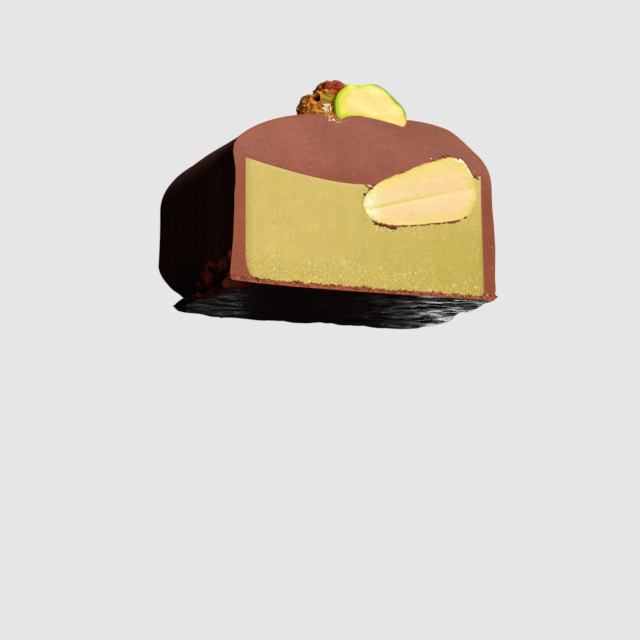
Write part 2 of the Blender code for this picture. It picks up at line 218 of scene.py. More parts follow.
# Pale and golden brown crumbs against the roasted piece's front: the same
PALE_ROAST_CRUMBS = ((13.05, 22.95, 0.55, 0.42, 26, 0.12), (12.7, 25.35, 0.22, 0.1, 5, 0.09))
BROWN_ROAST_CRUMBS = (
    (12.3, 22.2, 1.1, 0.3, 26, 0.14),
    (13.3, 22.6, 0.5, 0.6, 16, 0.12),
    (10.5, 22.6, 0.45, 0.6, 12, 0.17),
)
BASE_FLECKS, BASE_CRUMBS = 110, 150  # flecks of filling and crumbs of chocolate along the cut's base
DOME_CRUMB, DOME_CRUMB_SIZE = (23.6, 0.15, 21.35), 0.32


def linear(red, green, blue):
    """A colour given by its 0 to 255 display values, as the shaders' linear values."""
    shares = [value / 255 for value in (red, green, blue)]
    return tuple(((s + 0.055) / 1.055) ** 2.4 if s > 0.04045 else s / 12.92 for s in shares)


# ---------------------------------------------------------------- settings


def length(name, description, millimetres):
    """A size for the sidebar."""
    return bpy.props.FloatProperty(
        name=name, description=description, default=millimetres / MM, min=0.0, precision=5, unit="LENGTH"
    )


def colour(name, description, red, green, blue):
    """A colour for the sidebar."""
    shown = linear(red, green, blue)
    return bpy.props.FloatVectorProperty(
        name=name, description=description, default=shown, min=0.0, max=1.0, size=3, subtype="COLOR"
    )


class PralineSizes(bpy.types.PropertyGroup):
    """Sizes of the praline that can be changed from the sidebar."""

    shoulder: length("Shoulder height", "Height of the walls, where the dome starts", 14.5)
    top: length("Top height", "Height of the dome's ridge at the cut", 22.2)
    corner: length("Corner radius", "Radius of the two far corners", 3.0)
    kernel_length: length("Kernel length", "Length of the halved kernel in the filling", 15.5)
    slice_depth: length("Slice depth", "How far the kernel slice on top goes back", 4.4)
    fine: length("Fine mesh", "Distance between points on the cut face", 0.17)


class PralineColours(bpy.types.PropertyGroup):
    """Colours of the praline's finishes."""

    moulded: colour("Moulded chocolate", "Glossy outside", 108, 54, 38)
    # Partly the colour of rough broken chocolate, partly a painted warm glow of light bounced up from below
    chipped: colour("Chipped chocolate", "Rough low edge beside the cut", 176, 66, 34)
    cut: colour("Cut chocolate", "Where the knife went through", 156, 92, 73)
    cut_low: colour("Cut walls", "Cut chocolate of the walls and the base", 146, 77, 51)
    # Orange-brown of the broken crust at the base, and painted highlight along the cut face's edge where
    # light catches it
    crust_and_rim_highlight: colour("Cut rim", "Thin edge of the cut chocolate", 160, 80, 48)
    speck: colour("Specks", "Pale specks in the cut chocolate", 205, 140, 112)
    # Painted shade: the near-black of pits in the base crust, and of the grooves on the roasted piece's olive
    # side
    pit_shade: colour("Pits", "Dark pits along the base", 84, 34, 20)
    cream: colour("Filling", "Pistachio filling", 209, 185, 101)
    cream_grain: colour("Filling grains", "Pale grains in the filling", 238, 222, 160)
    cream_shade: colour("Filling shade", "Darker, greener filling low on the right", 192, 171, 78)
    cream_pale: colour("Filling edge", "Paler filling along its top", 212, 197, 136)
    cream_rich: colour("Filling, yellow", "Yellower patches of the filling", 212, 184, 76)
    kernel: colour("Kernel", "Cut kernel", 240, 204, 142)
    kernel_yellow: colour("Kernel yellow", "Upper part and rim of the cut kernel", 232, 208, 104)
    kernel_green: colour("Kernel green", "Seam and rim of the cut kernel", 216, 206, 66)
    kernel_tip: colour("Kernel tip", "Left end of the cut kernel", 236, 232, 168)
    chip: colour("Kernel chips", "Broken pale kernel", 250, 240, 204)
    lime: colour("Green skin", "Skin of the kernel slice", 216, 226, 32)
    leaf: colour("Slice rim", "Rim of the slice's cut face", 198, 222, 22)
    slice_gold: colour("Slice gold", "Slice's cut face beside its rim", 242, 206, 70)
    olive: colour("Dark green skin", "Darkest skin of the kernel slice", 112, 134, 12)
    slice: colour("Slice", "Cut face of the kernel slice", 246, 222, 132)
    husk: colour("Kernel skin", "Bits of skin round the cut kernel", 112, 42, 16)
    # The roasted piece goes from roast in its deepest hollows through rust to gold on its ridges, by the
    # relief's height: painted shade and highlight
    roast: colour("Roasted skin", "Dark papery skin", 144, 46, 12)
    gold: colour("Roasted flesh", "Golden ridges of the roasted piece", 232, 170, 58)
    rust: colour("Roasted hollows", "Orange-brown hollows of the roasted piece", 184, 96, 26)
    roast_green: colour("Roasted green", "Olive broken side of the roasted piece", 184, 158, 40)
    backdrop: colour("Backdrop", "Pale surroundings", 230, 230, 230)


# ---------------------------------------------------------------- curves and steps


def smooth_step(low, high, value):
    """0 up to low, 1 from high on, and smoothly rising in between."""
    t = min(max((value - low) / (high - low), 0.0), 1.0)
    return t * t * (3 - 2 * t)


def fade(low, high, value):
    """1 up to low, 0 from high on, and smoothly falling in between."""
    return 1 - smooth_step(low, high, value)


def bell(distance, span):
    """1 at no distance, falling to nearly 0 at twice the span."""
    return math.exp(-((distance / span) ** 2))


def mix(low, high, t):
    return low + (high - low) * t


def read_along(table, place):
    """The number beside a place in a table, or between its two neighbours."""
    places, numbers = zip(*table)
    return float(np.interp(place, places, numbers))


def steps(low, high, spacing):
    """Evenly spaced numbers from low to high, about the spacing apart."""
    count = max(round(abs(high - low) / spacing), 1)
    return [mix(low, high, i / count) for i in range(count + 1)]


def uneven(x, y, z, scale, seed):
    """Smooth noise, about -1 to 1, with lumps about 1 / scale across."""
    return noise.noise(Vector((x * scale + seed * 3.17, y * scale - seed * 1.71, z * scale + seed))) * 1.6


def smooth_loop(points, count):
    """A closed curve through the points, with the given number of steps between each two."""
    curve = []
    for i in range(len(points)):
        before, start, end, after = (Vector(points[(i + k) % len(points)]) for k in (-1, 0, 1, 2))
        for j in range(count):
            t = j / count
            bend = 2 * start + (end - before) * t
            bend += (2 * before - 5 * start + 4 * end - after) * t**2
            bend += (3 * start - before - 3 * end + after) * t**3
            curve.append(bend / 2)
    return curve


def plan_outline(left, right, back, radii, counts):
    """Points up the left side, round the far end and down the right side of a plan with two round corners.

    counts are the steps along a side, round a corner and along the far end.
    """
    first, second = radii
    side_steps, corner_steps, back_steps = counts
    points = [(left, mix(0.0, back - first, i / side_steps)) for i in range(side_steps)]
    for i in range(corner_steps):
        turn = math.pi / 2 * i / corner_steps
        points.append((left + first * (1 - math.cos(turn)), back - first * (1 - math.sin(turn))))
    points += [(mix(left + first, right - second, i / back_steps), back) for i in range(back_steps)]
    for i in range(corner_steps):
        turn = math.pi / 2 * i / corner_steps
        points.append((right - second * (1 - math.sin(turn)), back - second * (1 - math.cos(turn))))
    points += [(right, mix(back - second, 0.0, i / side_steps)) for i in range(side_steps + 1)]
    return points


# ---------------------------------------------------------------- mesh building


def inside(points, loops):
    """Which points lie inside the first loop and outside the others."""
    x, y = points.T
    within = np.zeros(len(points), bool)
    for loop in loops:
        for (ax, ay), (bx, by) in zip(loop, np.roll(loop, -1, 0)):
            if ay != by:
                within ^= ((ay > y) != (by > y)) & (x < (bx - ax) * (y - ay) / (by - ay) + ax)
    return within


def distance_to(points, loop):
    """How far each point lies from a closed line."""
    nearest = np.full(len(points), 1e9)
    for start, end in zip(loop, np.roll(loop, -1, 0)):
        run = end - start
        share = np.clip((points - start) @ run / max(run @ run, 1e-12), 0.0, 1.0)
        nearest = np.minimum(nearest, np.hypot(*(points - start - share[:, None] * run).T))
    return nearest


class Surface:
    """Points in millimetres, faces with their material numbers, and values kept on the points."""

    def __init__(self):
        self.points, self.faces, self.finishes = [], [], []
        self.values = {}

    def add_row(self, row):
        first = len(self.points)
        self.points += [Vector(point) for point in row]
        return list(range(first, len(self.points)))

    def add_strips(self, rows, finish=0, closed=False):
        for near, far in zip(rows, rows[1:]):
            last = len(near) if closed else len(near) - 1
            for i in range(last):
                k = (i + 1) % len(near)
                self.faces.append((near[i], near[k], far[k], far[i]))
                self.finishes.append(finish)

    def add_sheet(self, loops, axes, spacing, third, finish=0, seed=1):
        """Fills the region inside the first loop and outside the others with small triangles.

        axes are the two coordinates that the region is laid out in, and third gives the other one. Returns
        the numbers of the new points.
        """
        first_axis, second_axis = axes
        flat = [self.flat_loop(loop, axes) for loop in loops]
        rim = np.concatenate(flat)
        low, high = rim.min(0), rim.max(0)
        draw = np.random.default_rng(seed)
        columns = np.arange(low[0], high[0], spacing)
        rows = np.arange(low[1], high[1], spacing * math.sqrt(0.75))
        a, b = np.meshgrid(columns, rows)
        a = a + (np.arange(len(rows)) % 2)[:, None] * spacing / 2
        new = np.stack((a.ravel(), b.ravel()), 1)
        new += draw.uniform(-0.2, 0.2, new.shape) * spacing
        new = new[inside(new, flat)]
        far_enough = np.min([distance_to(new, loop) for loop in flat], 0) > spacing * 0.55
        new = new[far_enough]
        everything = np.concatenate((rim, new))
        edges, first = [], 0
        for loop in loops:
            edges += [(first + i, first + (i + 1) % len(loop)) for i in range(len(loop))]
            first += len(loop)
        vectors = [Vector(point) for point in everything]
        made = geometry.delaunay_2d_cdt(vectors, edges, [], 0, 1e-6)
        places, triangles, origins = made[0], made[2], made[3]
        known = [i for loop in loops for i in loop]
        ids = []
        fresh = []
        for place, origin in zip(places, origins):
            if origin and origin[0] < len(known):
                ids.append(known[origin[0]])
                continue
            point = [0.0, 0.0, 0.0]
            point[first_axis], point[second_axis] = place
            point[3 - first_axis - second_axis] = third(*place)
            ids.append(len(self.points))
            fresh.append(ids[-1])
            self.points.append(Vector(point))
        corners = np.array([list(triangle) for triangle in triangles])
        flat_places = np.array([list(place) for place in places])
        shown = inside(flat_places[corners].mean(1), flat)
        for triangle, show in zip(triangles, shown):
            if show:
                self.faces.append(tuple(ids[i] for i in triangle))
                self.finishes.append(finish)
        return fresh

    def flat_loop(self, loop, axes):
        """Two of the coordinates of a loop's points."""
        return np.array([[self.points[i][axis] for axis in axes] for i in loop])

    def keep_value(self, name, numbers):
        self.values[name] = numbers

    def build(self, name, materials, relief=None):
        """Makes the object in the frame's metres. relief gives the place that a point moves to."""
        mesh = bmesh.new()
        for key in self.values:
            mesh.verts.layers.float.new(key)
        verts = [mesh.verts.new(point) for point in self.points]
        layers = {key: mesh.verts.layers.float[key] for key in self.values}
        for key, layer in layers.items():
            for vert, number in zip(verts, self.values[key]):
                vert[layer] = number
        for corners, finish in zip(self.faces, self.finishes):
            face = mesh.faces.new([verts[i] for i in corners])
            face.material_index = finish
            face.smooth = True
        bmesh.ops.recalc_face_normals(mesh, faces=mesh.faces)
        if relief:
            mesh.normal_update()
            moved = [relief(i, vert.co, vert.normal) for i, vert in enumerate(verts)]
            for vert, place in zip(verts, moved):
                vert.co = place
        loose = [vert for vert in mesh.verts if not vert.link_faces]
        bmesh.ops.delete(mesh, geom=loose, context="VERTS")
        middle = Vector((BASE_WIDTH / 2, WALL_DEPTH / 2, 0.0))
        for vert in mesh.verts:
            vert.co = (vert.co - middle) / MM
        data = bpy.data.meshes.new(name)
        mesh.to_mesh(data)
        mesh.free()
        data.set_sharp_from_angle(angle=math.radians(50))
        for material in materials:
            data.materials.append(material)
        piece = bpy.data.objects.new(name, data)
        bpy.context.scene.collection.objects.link(piece)
        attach(piece, BODY)
        return piece


def clear(name):
    """Removes an earlier build of a piece, so that its operator can run again."""
    old = bpy.data.objects.get(name)
    if old:
        bpy.data.objects.remove(old)


# ---------------------------------------------------------------- form of the praline


class Form:
    """The praline's outside, its filling and its kernel, from the sizes in the sidebar."""

    def __init__(self, sizes):
        self.shoulder = sizes.shoulder * MM
        self.top = sizes.top * MM
        self.corner = sizes.corner * MM
        self.kernel_half = sizes.kernel_length * MM / 2
        self.slice_depth = sizes.slice_depth * MM
        self.fine = sizes.fine * MM

    def wall_left(self, z):
        return mix(WALL_LEFT, CAP_LEFT, smooth_step(WALL_LEAN_Z, self.shoulder, z))

    def wall_right(self, z):
        return mix(WALL_RIGHT, CAP_RIGHT, smooth_step(WALL_LEAN_Z, self.shoulder, z))

    def edge_shape(self, x, y, z):
        """Moves a point of the plain walls or dome sideways to where the uneven walls stand."""
        left = read_along(LEFT_EDGE, z) * fade(*EDGE_DEPTH_FADE, y) * fade(*EDGE_LEFT_FADE, x)
        return x + left + read_along(RIGHT_EDGE, z) * smooth_step(*EDGE_RIGHT_FADE, x)

    def undercut(self, z):
        """0 on the upright wall, 1 at the deepest of the notch over the foot."""
        share = (NOTCH_TOP_Z - z) / (NOTCH_TOP_Z - NOTCH_Z)
        return min(max(share, 0.0), 1.0) ** NOTCH_POWER

    def cap_drop(self, x, y):
        """How far the cap lies below its plain outline: towards the far wall, and at the right shoulder."""
        shoulder = fade(*RIGHT_SHOULDER_FADE, CAP_RIGHT - x)
        lift = RIGHT_LIFT * bell(x - RIGHT_LIFT_X, RIGHT_LIFT_SPAN)
        left = read_along(LEFT_DROP, y) * fade(*LEFT_DROP_FADE, x)
        return DOME_FALL * y * y + RIGHT_SHOULDER_DROP * shoulder + left - lift

    def pushed_in(self, x, y, amount):
        """Moves a point of the outline towards the middle of the praline, by more the deeper it lies."""
        inward = (Vector(OUTLINE_MIDDLE) - Vector((x, y))).normalized()
        growing = smooth_step(*UNDERCUT_FADE, y)
        return x + inward.x * amount * growing, y + inward.y * amount * growing

    def wall_ring(self, z, inset=0.0):
        """The praline's outline at a height on the wall. inset moves it inwards all round."""
        deep = self.undercut(z)
        radii = [mix(self.corner, foot, deep) - inset for foot in FOOT_CORNERS]
        left, right = self.wall_left(z) + inset, self.wall_right(z) - inset
        back = WALL_DEPTH - FOOT_BACK_INSET * deep - inset
        notch = NOTCH_DEPTH * deep * smooth_step(LIP_Z, NOTCH_Z, z)
        foot_share = fade(*FOOT_Z_FADE, z)
        ring = []
        for x, y in plan_outline(left, right, back, radii, OUTLINE_STEPS):
            foot = read_along(FOOT_RIGHT, y) * foot_share * smooth_step(*FOOT_RIGHT_FADE, x)
            x, y = self.pushed_in(x, y, notch)
            x += foot
            near_cut = inset * 0.7 * fade(*NEAR_CUT_FADE, y)
            x += near_cut if x > BASE_WIDTH / 2 else -near_cut
            height = z - self.cap_drop(x, y) * smooth_step(NOTCH_TOP_Z, self.shoulder, z)
            ring.append((self.edge_shape(x, y, height), y, height))
        return ring

    def base_lift(self, place):
        """How far the cut's lower edge is rounded up from the base."""
        lift = LIFT_RIGHT + (LIFT_LEFT - LIFT_RIGHT) * math.exp(-max(place.x, 0.0) / LIFT_REACH)
        return lift * fade(0.0, LIFT_DEPTH, place.y) * fade(0.0, LIFT_HEIGHT, place.z)

    def lip_ring(self, z, inset):
        """The foot's thin lip, ragged where the far end draws in."""
        thin_here = LIP_THINNER * max(1 - z / LIP_Z, 0.0) ** 2
        ring = []
        for x, y, height in self.wall_ring(z, inset):
            coarse = noise.noise(Vector((x * 0.31, y * 0.31, 7.3))) * 1.6
            finer = uneven(x, y, 0.0, 0.9, 4) * (0.16 if x > LIP_TIP_X else 0.05)
            tip = LIP_TIP * math.exp(-abs(y - LIP_TIP_Y) / LIP_TIP_SPAN) if x < LIP_TIP_X else 0.0
            thinner = thin_here * bell(y - LIP_TIP_Y, LIP_THINNER_SPAN) if x < LIP_THINNER_X else 0.0
            x, y = self.pushed_in(x, y, LIP_ROUGHNESS * (coarse + finer) - tip + thinner)
            ring.append((x, y, height))
        return ring

    def dome_ring(self, angle):
        """One outline of the dome. The angle runs from 0 at the shoulder to a quarter turn at the ridge."""
        half_width = (CAP_RIGHT - CAP_LEFT) / 2
        inset = half_width * (1 - math.cos(angle) ** (2 / DOME_POWER))
        height = self.shoulder + (self.top - self.shoulder) * math.sin(angle) ** (2 / DOME_POWER)
        radius = min(self.corner + inset / 2, 0.8 * (half_width - inset))
        left, right, back = CAP_LEFT + inset, CAP_RIGHT - inset, WALL_DEPTH - inset
        ring = []
        for x, y in plan_outline(left, right, back, (radius, radius), OUTLINE_STEPS):
            z = height - self.cap_drop(x, y)
            ring.append((self.edge_shape(x, y, z), y, z))
        return ring

    def filling_ring(self, z, inset):
        """An outline of the filling's sides, uneven along its base where the cut shows it."""
        low = fade(*FILLING_SQUARE_Z_FADE, z)
        curve = FILLING_ROUND * max(1 - (z - FILLING_BASE_LEFT) / FILLING_ROUND_HEIGHT, 0.0) ** 2
        ring = []
        for x, y in self.filling_outline(z, inset):
            near = fade(*NEAR_CUT_FADE, y)
            ragged = self.base_edge(x) * near * fade(*FOOT_Z_FADE, z)
            rounder = curve * fade(*FILLING_ROUND_FADE, x)
            squarer = inset * FILLING_SQUARE * smooth_step(*FILLING_SQUARE_FADE, x) * near * low
            ring.append((x + rounder + squarer, y, z + FILLING_BASE_SLOPE * x * low + ragged))
        return ring

    def base_edge(self, x):
        """How far the lower edge of the cut filling stands above or below its straight line."""
        climb = BASE_CLIMB * smooth_step(*BASE_CLIMB_FADE, x)
        return climb + 0.11 * uneven(x, 0.0, 0.0, 0.8, 3) + 0.1 * uneven(x, 0.0, 0.0, 2.3, 8)

    def base_height(self, x, y=0.0):
        """Height of the filling's floor, uneven near the cut."""
        return FILLING_BASE_LEFT + FILLING_BASE_SLOPE * x + self.base_edge(x) * fade(*NEAR_CUT_FADE, y)

    def filling_outline(self, z, inset):
        deep = self.undercut(z)
        left, right = FILLING_LEFT + inset, FILLING_RIGHT - FILLING_LEAN * z - inset
        back = WALL_DEPTH - FILLING_WALL - (FOOT_BACK_INSET + NOTCH_DEPTH) * deep - inset
        corner = mix(FILLING_CORNER, FOOT_CORNERS[0] - FILLING_WALL, deep)
        radius = max(corner - inset * 0.3, 0.4)
        points = plan_outline(left, right, back, (radius, radius), FILLING_STEPS)
        return [self.pushed_in(x, y, NOTCH_DEPTH * deep) for x, y in points]

    def filling_top(self, x, y, inset):
        """Height of the filling's hollow top, which climbs where it meets the chocolate walls."""
        climb = MENISCUS_RISE * max(1 - inset / MENISCUS_REACH, 0.0) ** MENISCUS_POWER
        height = MENISCUS_Z + climb * mix(1.0, MENISCUS_FAR_SHARE, y / WALL_DEPTH)
        right = FILLING_RIGHT_RISE * smooth_step(*FILLING_RIGHT_RISE_FADE, x)
        return height - FILLING_DROP * self.cap_drop(x, y) + right

    def filling_top_ring(self, inset):
        return [(x, y, self.filling_top(x, y, inset)) for x, y in self.filling_outline(MENISCUS_Z, inset)]

    def filling_rings(self):
        """The filling's outlines, from its rounded base up its sides and in over its top."""
        rings = []
        for turn in steps(0.0, math.pi / 2, math.pi / 16):
            rise = FILLING_CURVE_RISE * (1 - math.cos(turn))
            inset = FILLING_CURVE_INSET * (1 - math.sin(turn)) ** FILLING_CURVE_POWER
            rings.append(self.filling_ring(FILLING_BASE_LEFT + rise, inset))
        sides = steps(FILLING_BASE_LEFT + FILLING_CURVE_RISE, FILLING_SIDE_TOP, FILLING_RING_STEP)
        rings += [self.filling_ring(z, 0.0) for z in sides[1:]]
        insets = steps(0.0, MENISCUS_LAST_INSET, FILLING_RING_STEP)
        return rings + [self.filling_top_ring(inset) for inset in insets]

    def kernel_place(self, along, across):
        """Where a point of the kernel's flat side lies on the cut face."""
        x = KERNEL_X + along * math.cos(KERNEL_TILT) - across * math.sin(KERNEL_TILT)
        z = KERNEL_Z + along * math.sin(KERNEL_TILT) + across * math.cos(KERNEL_TILT)
        return x, z

    def kernel_offsets(self, x, z):
        """How far along and across the kernel a point of the cut face lies from the kernel's middle."""
        right, up = x - KERNEL_X, z - KERNEL_Z
        along = right * math.cos(KERNEL_TILT) + up * math.sin(KERNEL_TILT)
        across = up * math.cos(KERNEL_TILT) - right * math.sin(KERNEL_TILT)
        return along, across

    def kernel_widths(self, along):
        """Half widths of the kernel above and below its seam, at a distance from its middle."""
        share = min(abs(along) / self.kernel_half, 1.0)
        square_above, square_below = KERNEL_SQUARE_RIGHT if along > 0 else KERNEL_SQUARE_LEFT
        hump = KERNEL_HUMP * bell(along - KERNEL_HUMP_AT, KERNEL_HUMP_SPAN)
        above = (KERNEL_ABOVE + KERNEL_ABOVE_SLOPE * along + hump) * math.sqrt(1 - share**square_above)
        below = (KERNEL_BELOW + KERNEL_BELOW_SLOPE * along) * math.sqrt(1 - share**square_below)
        return above, below

    def kernel_depth(self, along):
        """How deep the kernel goes at its thickest, at a distance from its middle."""
        return KERNEL_DEPTH * math.sqrt(1 - (abs(along) / self.kernel_half) ** 3)

    def kernel_reach(self, along, across):
        """How deep the kernel goes behind a point of the cut face, or 0 outside its outline."""
        if abs(along) >= self.kernel_half:
            return 0.0
        above, below = self.kernel_widths(along)
        width = max(above if across > 0 else below, 1e-6)
        return self.kernel_depth(along) * math.sqrt(max(1 - (across / width) ** 2, 0.0))

    def behind_slice(self, point):
        """Moves a point of the cut face back inside the slice on top."""
        deepest, behind = SLICE_COVER_DEPTH, 0.6
        return Vector((point.x, behind + point.y * (deepest - behind) / deepest, point.z))

    def behind_kernel(self, point):
        """Moves a point that lies in front of the kernel's back to behind it."""
        deepest, margin = 10.0, 1.03
        along, across = self.kernel_offsets(point.x, point.z)
        reach = self.kernel_reach(along * margin, across * margin)
        if not reach or point.y >= deepest:
            return point
        return Vector((point.x, reach + point.y * (deepest - reach) / deepest, point.z))


# ---------------------------------------------------------------- node trees


class Signal:
    """What a node puts out. Sums, differences and products of signals and numbers are Math nodes."""

    def __init__(self, nodes, socket):
        self.nodes, self.socket = nodes, socket

    def __add__(self, other):
        return self.nodes.math("ADD", self, other)

    def __sub__(self, other):
        return self.nodes.math("SUBTRACT", self, other)

    def __rsub__(self, other):
        return self.nodes.math("SUBTRACT", other, self)

    def __mul__(self, other):
        return self.nodes.math("MULTIPLY", self, other)


class Nodes:
    """Adds and links the nodes of one tree."""

    def __init__(self, tree):
        self.tree = tree

    def add(self, kind, settings=None, inputs=None):
        node = self.tree.nodes.new("ShaderNode" + kind)
        for name, value in (settings or {}).items():
            setattr(node, name, value)
        for name, value in (inputs or {}).items():
            self.put(node.inputs[name], value)
        return node

    def put(self, socket, value):
        """Links a signal to a socket, or sets the socket to a number, a vector or a colour."""
        if isinstance(value, Signal):
            self.tree.links.new(value.socket, socket)
        elif socket.type == "RGBA" and len(value) == 3:
            socket.default_value = (*value, 1.0)
        else:
            socket.default_value = value

    def out(self, node, name=0):
        return Signal(self, node.outputs[name])

    def math(self, operation, first, second=0.0):
        return self.out(self.add("Math", {"operation": operation}, {0: first, 1: second}))

    def larger(self, first, second):
        return self.math("MAXIMUM", first, second)

    def vector(self, operation, first, second):
        return self.out(self.add("VectorMath", {"operation": operation}, {0: first, 1: second}))

    def scaled(self, vector, amounts):
        return self.vector("MULTIPLY", vector, amounts)

    def tilted(self, vector, angle):
        """A place turned about y."""
        inputs = {"Vector": vector, "Rotation": (0.0, angle, 0.0)}
        turn = self.add("Mapping", {"vector_type": "POINT"}, inputs)
        return self.out(turn)

    def split(self, vector):
        """The x, y and z of a place."""
        parts = self.add("SeparateXYZ", None, {"Vector": vector})
        return [self.out(parts, axis) for axis in "XYZ"]

    def luck(self, cells):
        """Two numbers drawn at random for each cell of a Voronoi texture."""
        parts = self.add("SeparateColor", None, {"Color": self.out(cells, "Color")})
        return self.out(parts, "Red"), self.out(parts, "Green")

    def ramp(self, value, low, high, to_low=0.0, to_high=1.0):
        """value read between low and high, smoothly, as a number between to_low and to_high."""
        limits = {"From Min": low, "From Max": high, "To Min": to_low, "To Max": to_high}
        node = self.add("MapRange", {"interpolation_type": "SMOOTHSTEP"}, {"Value": value, **limits})
        return self.out(node, "Result")

    def blend(self, share, first, second):
        """A colour between two colours."""
        return self.out(self.add("Mix", {"data_type": "RGBA"}, {0: share, 6: first, 7: second}), 2)

    def mix_shaders(self, share, first, second):
        return self.out(self.add("MixShader", None, {0: share, 1: first, 2: second}))

    def noise(self, vector, scale, detail=3.0, roughness=0.55, distortion=0.0):
        shape = {"Scale": scale, "Detail": detail, "Roughness": roughness, "Distortion": distortion}
        return self.out(self.add("TexNoise", None, {"Vector": vector, **shape}))

    def value_of(self, name):
        """A value kept on the piece's points."""
        return self.out(self.add("Attribute", {"attribute_name": name}), "Fac")

    def effect(self, name, output, inputs):
        """A shared effect, placed in this tree with its own values."""
        return self.out(self.add("Group", {"node_tree": shared_group(name)}, inputs), output)

    def tint(self, colour, value, strength):
        return self.effect("tint", "Color", {"Color": colour, "Value": value, "Strength": strength})

    def smears(self, place, across, along, grain):
        inputs = {"Place": place, "Across": across, "Along": along, "Grain": grain}
        return self.effect("knife_smears", "Value", inputs)

    def specks(self, place, per_mm, share, size):
        inputs = {"Place": place, "Per mm": per_mm, "Share": share, "Size": size}
        return self.effect("scattered_specks", "Mask", inputs)


def make_group(name, inputs, output, kind):
    """A new node group with named sockets: its Nodes, its inputs by name, and where its result goes."""
    tree = bpy.data.node_groups.new(name, "ShaderNodeTree")
    for socket_name, socket_kind, value in inputs:
        socket = tree.interface.new_socket(
            name=socket_name, in_out="INPUT", socket_type="NodeSocket" + socket_kind
        )
        if value is not None:
            socket.default_value = value
    tree.interface.new_socket(name=output, in_out="OUTPUT", socket_type="NodeSocket" + kind)
    nodes = Nodes(tree)
    source = tree.nodes.new("NodeGroupInput")
    given = {socket_name: nodes.out(source, socket_name) for socket_name, _, _ in inputs}
    return nodes, given, tree.nodes.new("NodeGroupOutput").inputs[output]


def specks_group():
    """Round specks of uneven size, scattered at random."""
    inputs = (
        ("Place", "Vector", None),
        ("Per mm", "Float", 1.0),
        ("Share", "Float", 0.2),
        ("Size", "Float", 0.2),
    )
    nodes, given, result = make_group("scattered_specks", inputs, "Mask", "Float")
    cells = nodes.add("TexVoronoi", None, {"Vector": given["Place"], "Scale": given["Per mm"]})
    chance, bigness = nodes.luck(cells)
    chosen = nodes.math("LESS_THAN", chance, given["Share"])
    radius = given["Size"] * (bigness + 0.4)
    soft_edge = nodes.ramp(radius - nodes.out(cells, "Distance"), 0.0, 0.08)
    nodes.put(result, chosen * soft_edge)
    return nodes.tree


def smears_group():
    """Faint streaks that a knife leaves, drawn out along z, and finer grain."""
    inputs = (
        ("Place", "Vector", None),
        ("Across", "Float", 1.2),
        ("Along", "Float", 0.12),
        ("Grain", "Float", 0.4),
    )
    nodes, given, result = make_group("knife_smears", inputs, "Value", "Float")
    stretch = nodes.add("CombineXYZ", None, {"X": given["Across"], "Y": given["Across"], "Z": given["Along"]})
    streaks = nodes.noise(nodes.scaled(given["Place"], nodes.out(stretch)), 1.0, 4.0, 0.6, 0.4)
    grain = nodes.noise(given["Place"], 3.2, 3.0, 0.65)
    both = nodes.add("Mix", {"data_type": "FLOAT"}, {0: given["Grain"], 2: streaks, 3: grain})
    nodes.put(result, nodes.out(both))
    return nodes.tree


def tint_group():
    """Lightens or darkens a colour by a value that is 0.5 where nothing changes."""
    inputs = (("Color", "Color", None), ("Value", "Float", 0.5), ("Strength", "Float", 0.2))
    nodes, given, result = make_group("tint", inputs, "Color", "Color")
    factor = (given["Value"] - 0.5) * given["Strength"] * 2.0 + 1.0
    nodes.put(result, nodes.scaled(given["Color"], factor))
    return nodes.tree


def shared_group(name):
    """A node group that materials share, built the first time that it is asked for."""
    makers = {"scattered_specks": specks_group, "knife_smears": smears_group, "tint": tint_group}
    return bpy.data.node_groups.get(name) or makers[name]()


class Finish(Nodes):
    """A material in the making. place is a point's place, in millimetres from the middle of the base."""

    def __init__(self, name, roughness, specular=0.5):
        old = bpy.data.materials.get(name)
        if old:
            bpy.data.materials.remove(old)
        self.material = bpy.data.materials.new(name)
        self.material.use_nodes = True
        super().__init__(self.material.node_tree)
        self.shader = self.tree.nodes["Principled BSDF"]
        self.shader.inputs["Roughness"].default_value = roughness
        self.shader.inputs["Specular IOR Level"].default_value = specular
        self.place = self.scaled(self.out(self.add("TexCoord"), "Object"), (MM, MM, MM))

    def paint(self, tone):
        self.put(self.shader.inputs["Base Color"], tone)

    def roughen(self, roughness):
        self.put(self.shader.inputs["Roughness"], roughness)

    def bump(self, height, strength, distance):
        """Low relief, as deep as the distance in millimetres."""
        node = self.add("Bump", None, {"Height": height, "Strength": strength, "Distance": distance / MM})
        self.put(self.shader.inputs["Normal"], self.out(node, "Normal"))

    def soften(self, weight, reach):
        """Lets light spread inside a kernel, as far as reach in millimetres."""
        self.shader.inputs["Subsurface Weight"].default_value = weight
        self.shader.inputs["Subsurface Scale"].default_value = reach / MM
        self.shader.inputs["Subsurface Radius"].default_value = KERNEL_GLOW


# ---------------------------------------------------------------- materials

KERNEL_GLOW = (1.0, 0.8, 0.25)  # how far red, green and blue light spread in a kernel, against each other
# Most that the roasted piece's colour may reach, which caps the painted light on its left side
ROAST_BRIGHTEST = (0.8, 0.42, 0.1)
# Painted shade: the near-black of the roasted piece's hollow
ROAST_HOLLOW_SHADE = (0.008, 0.003, 0.002)


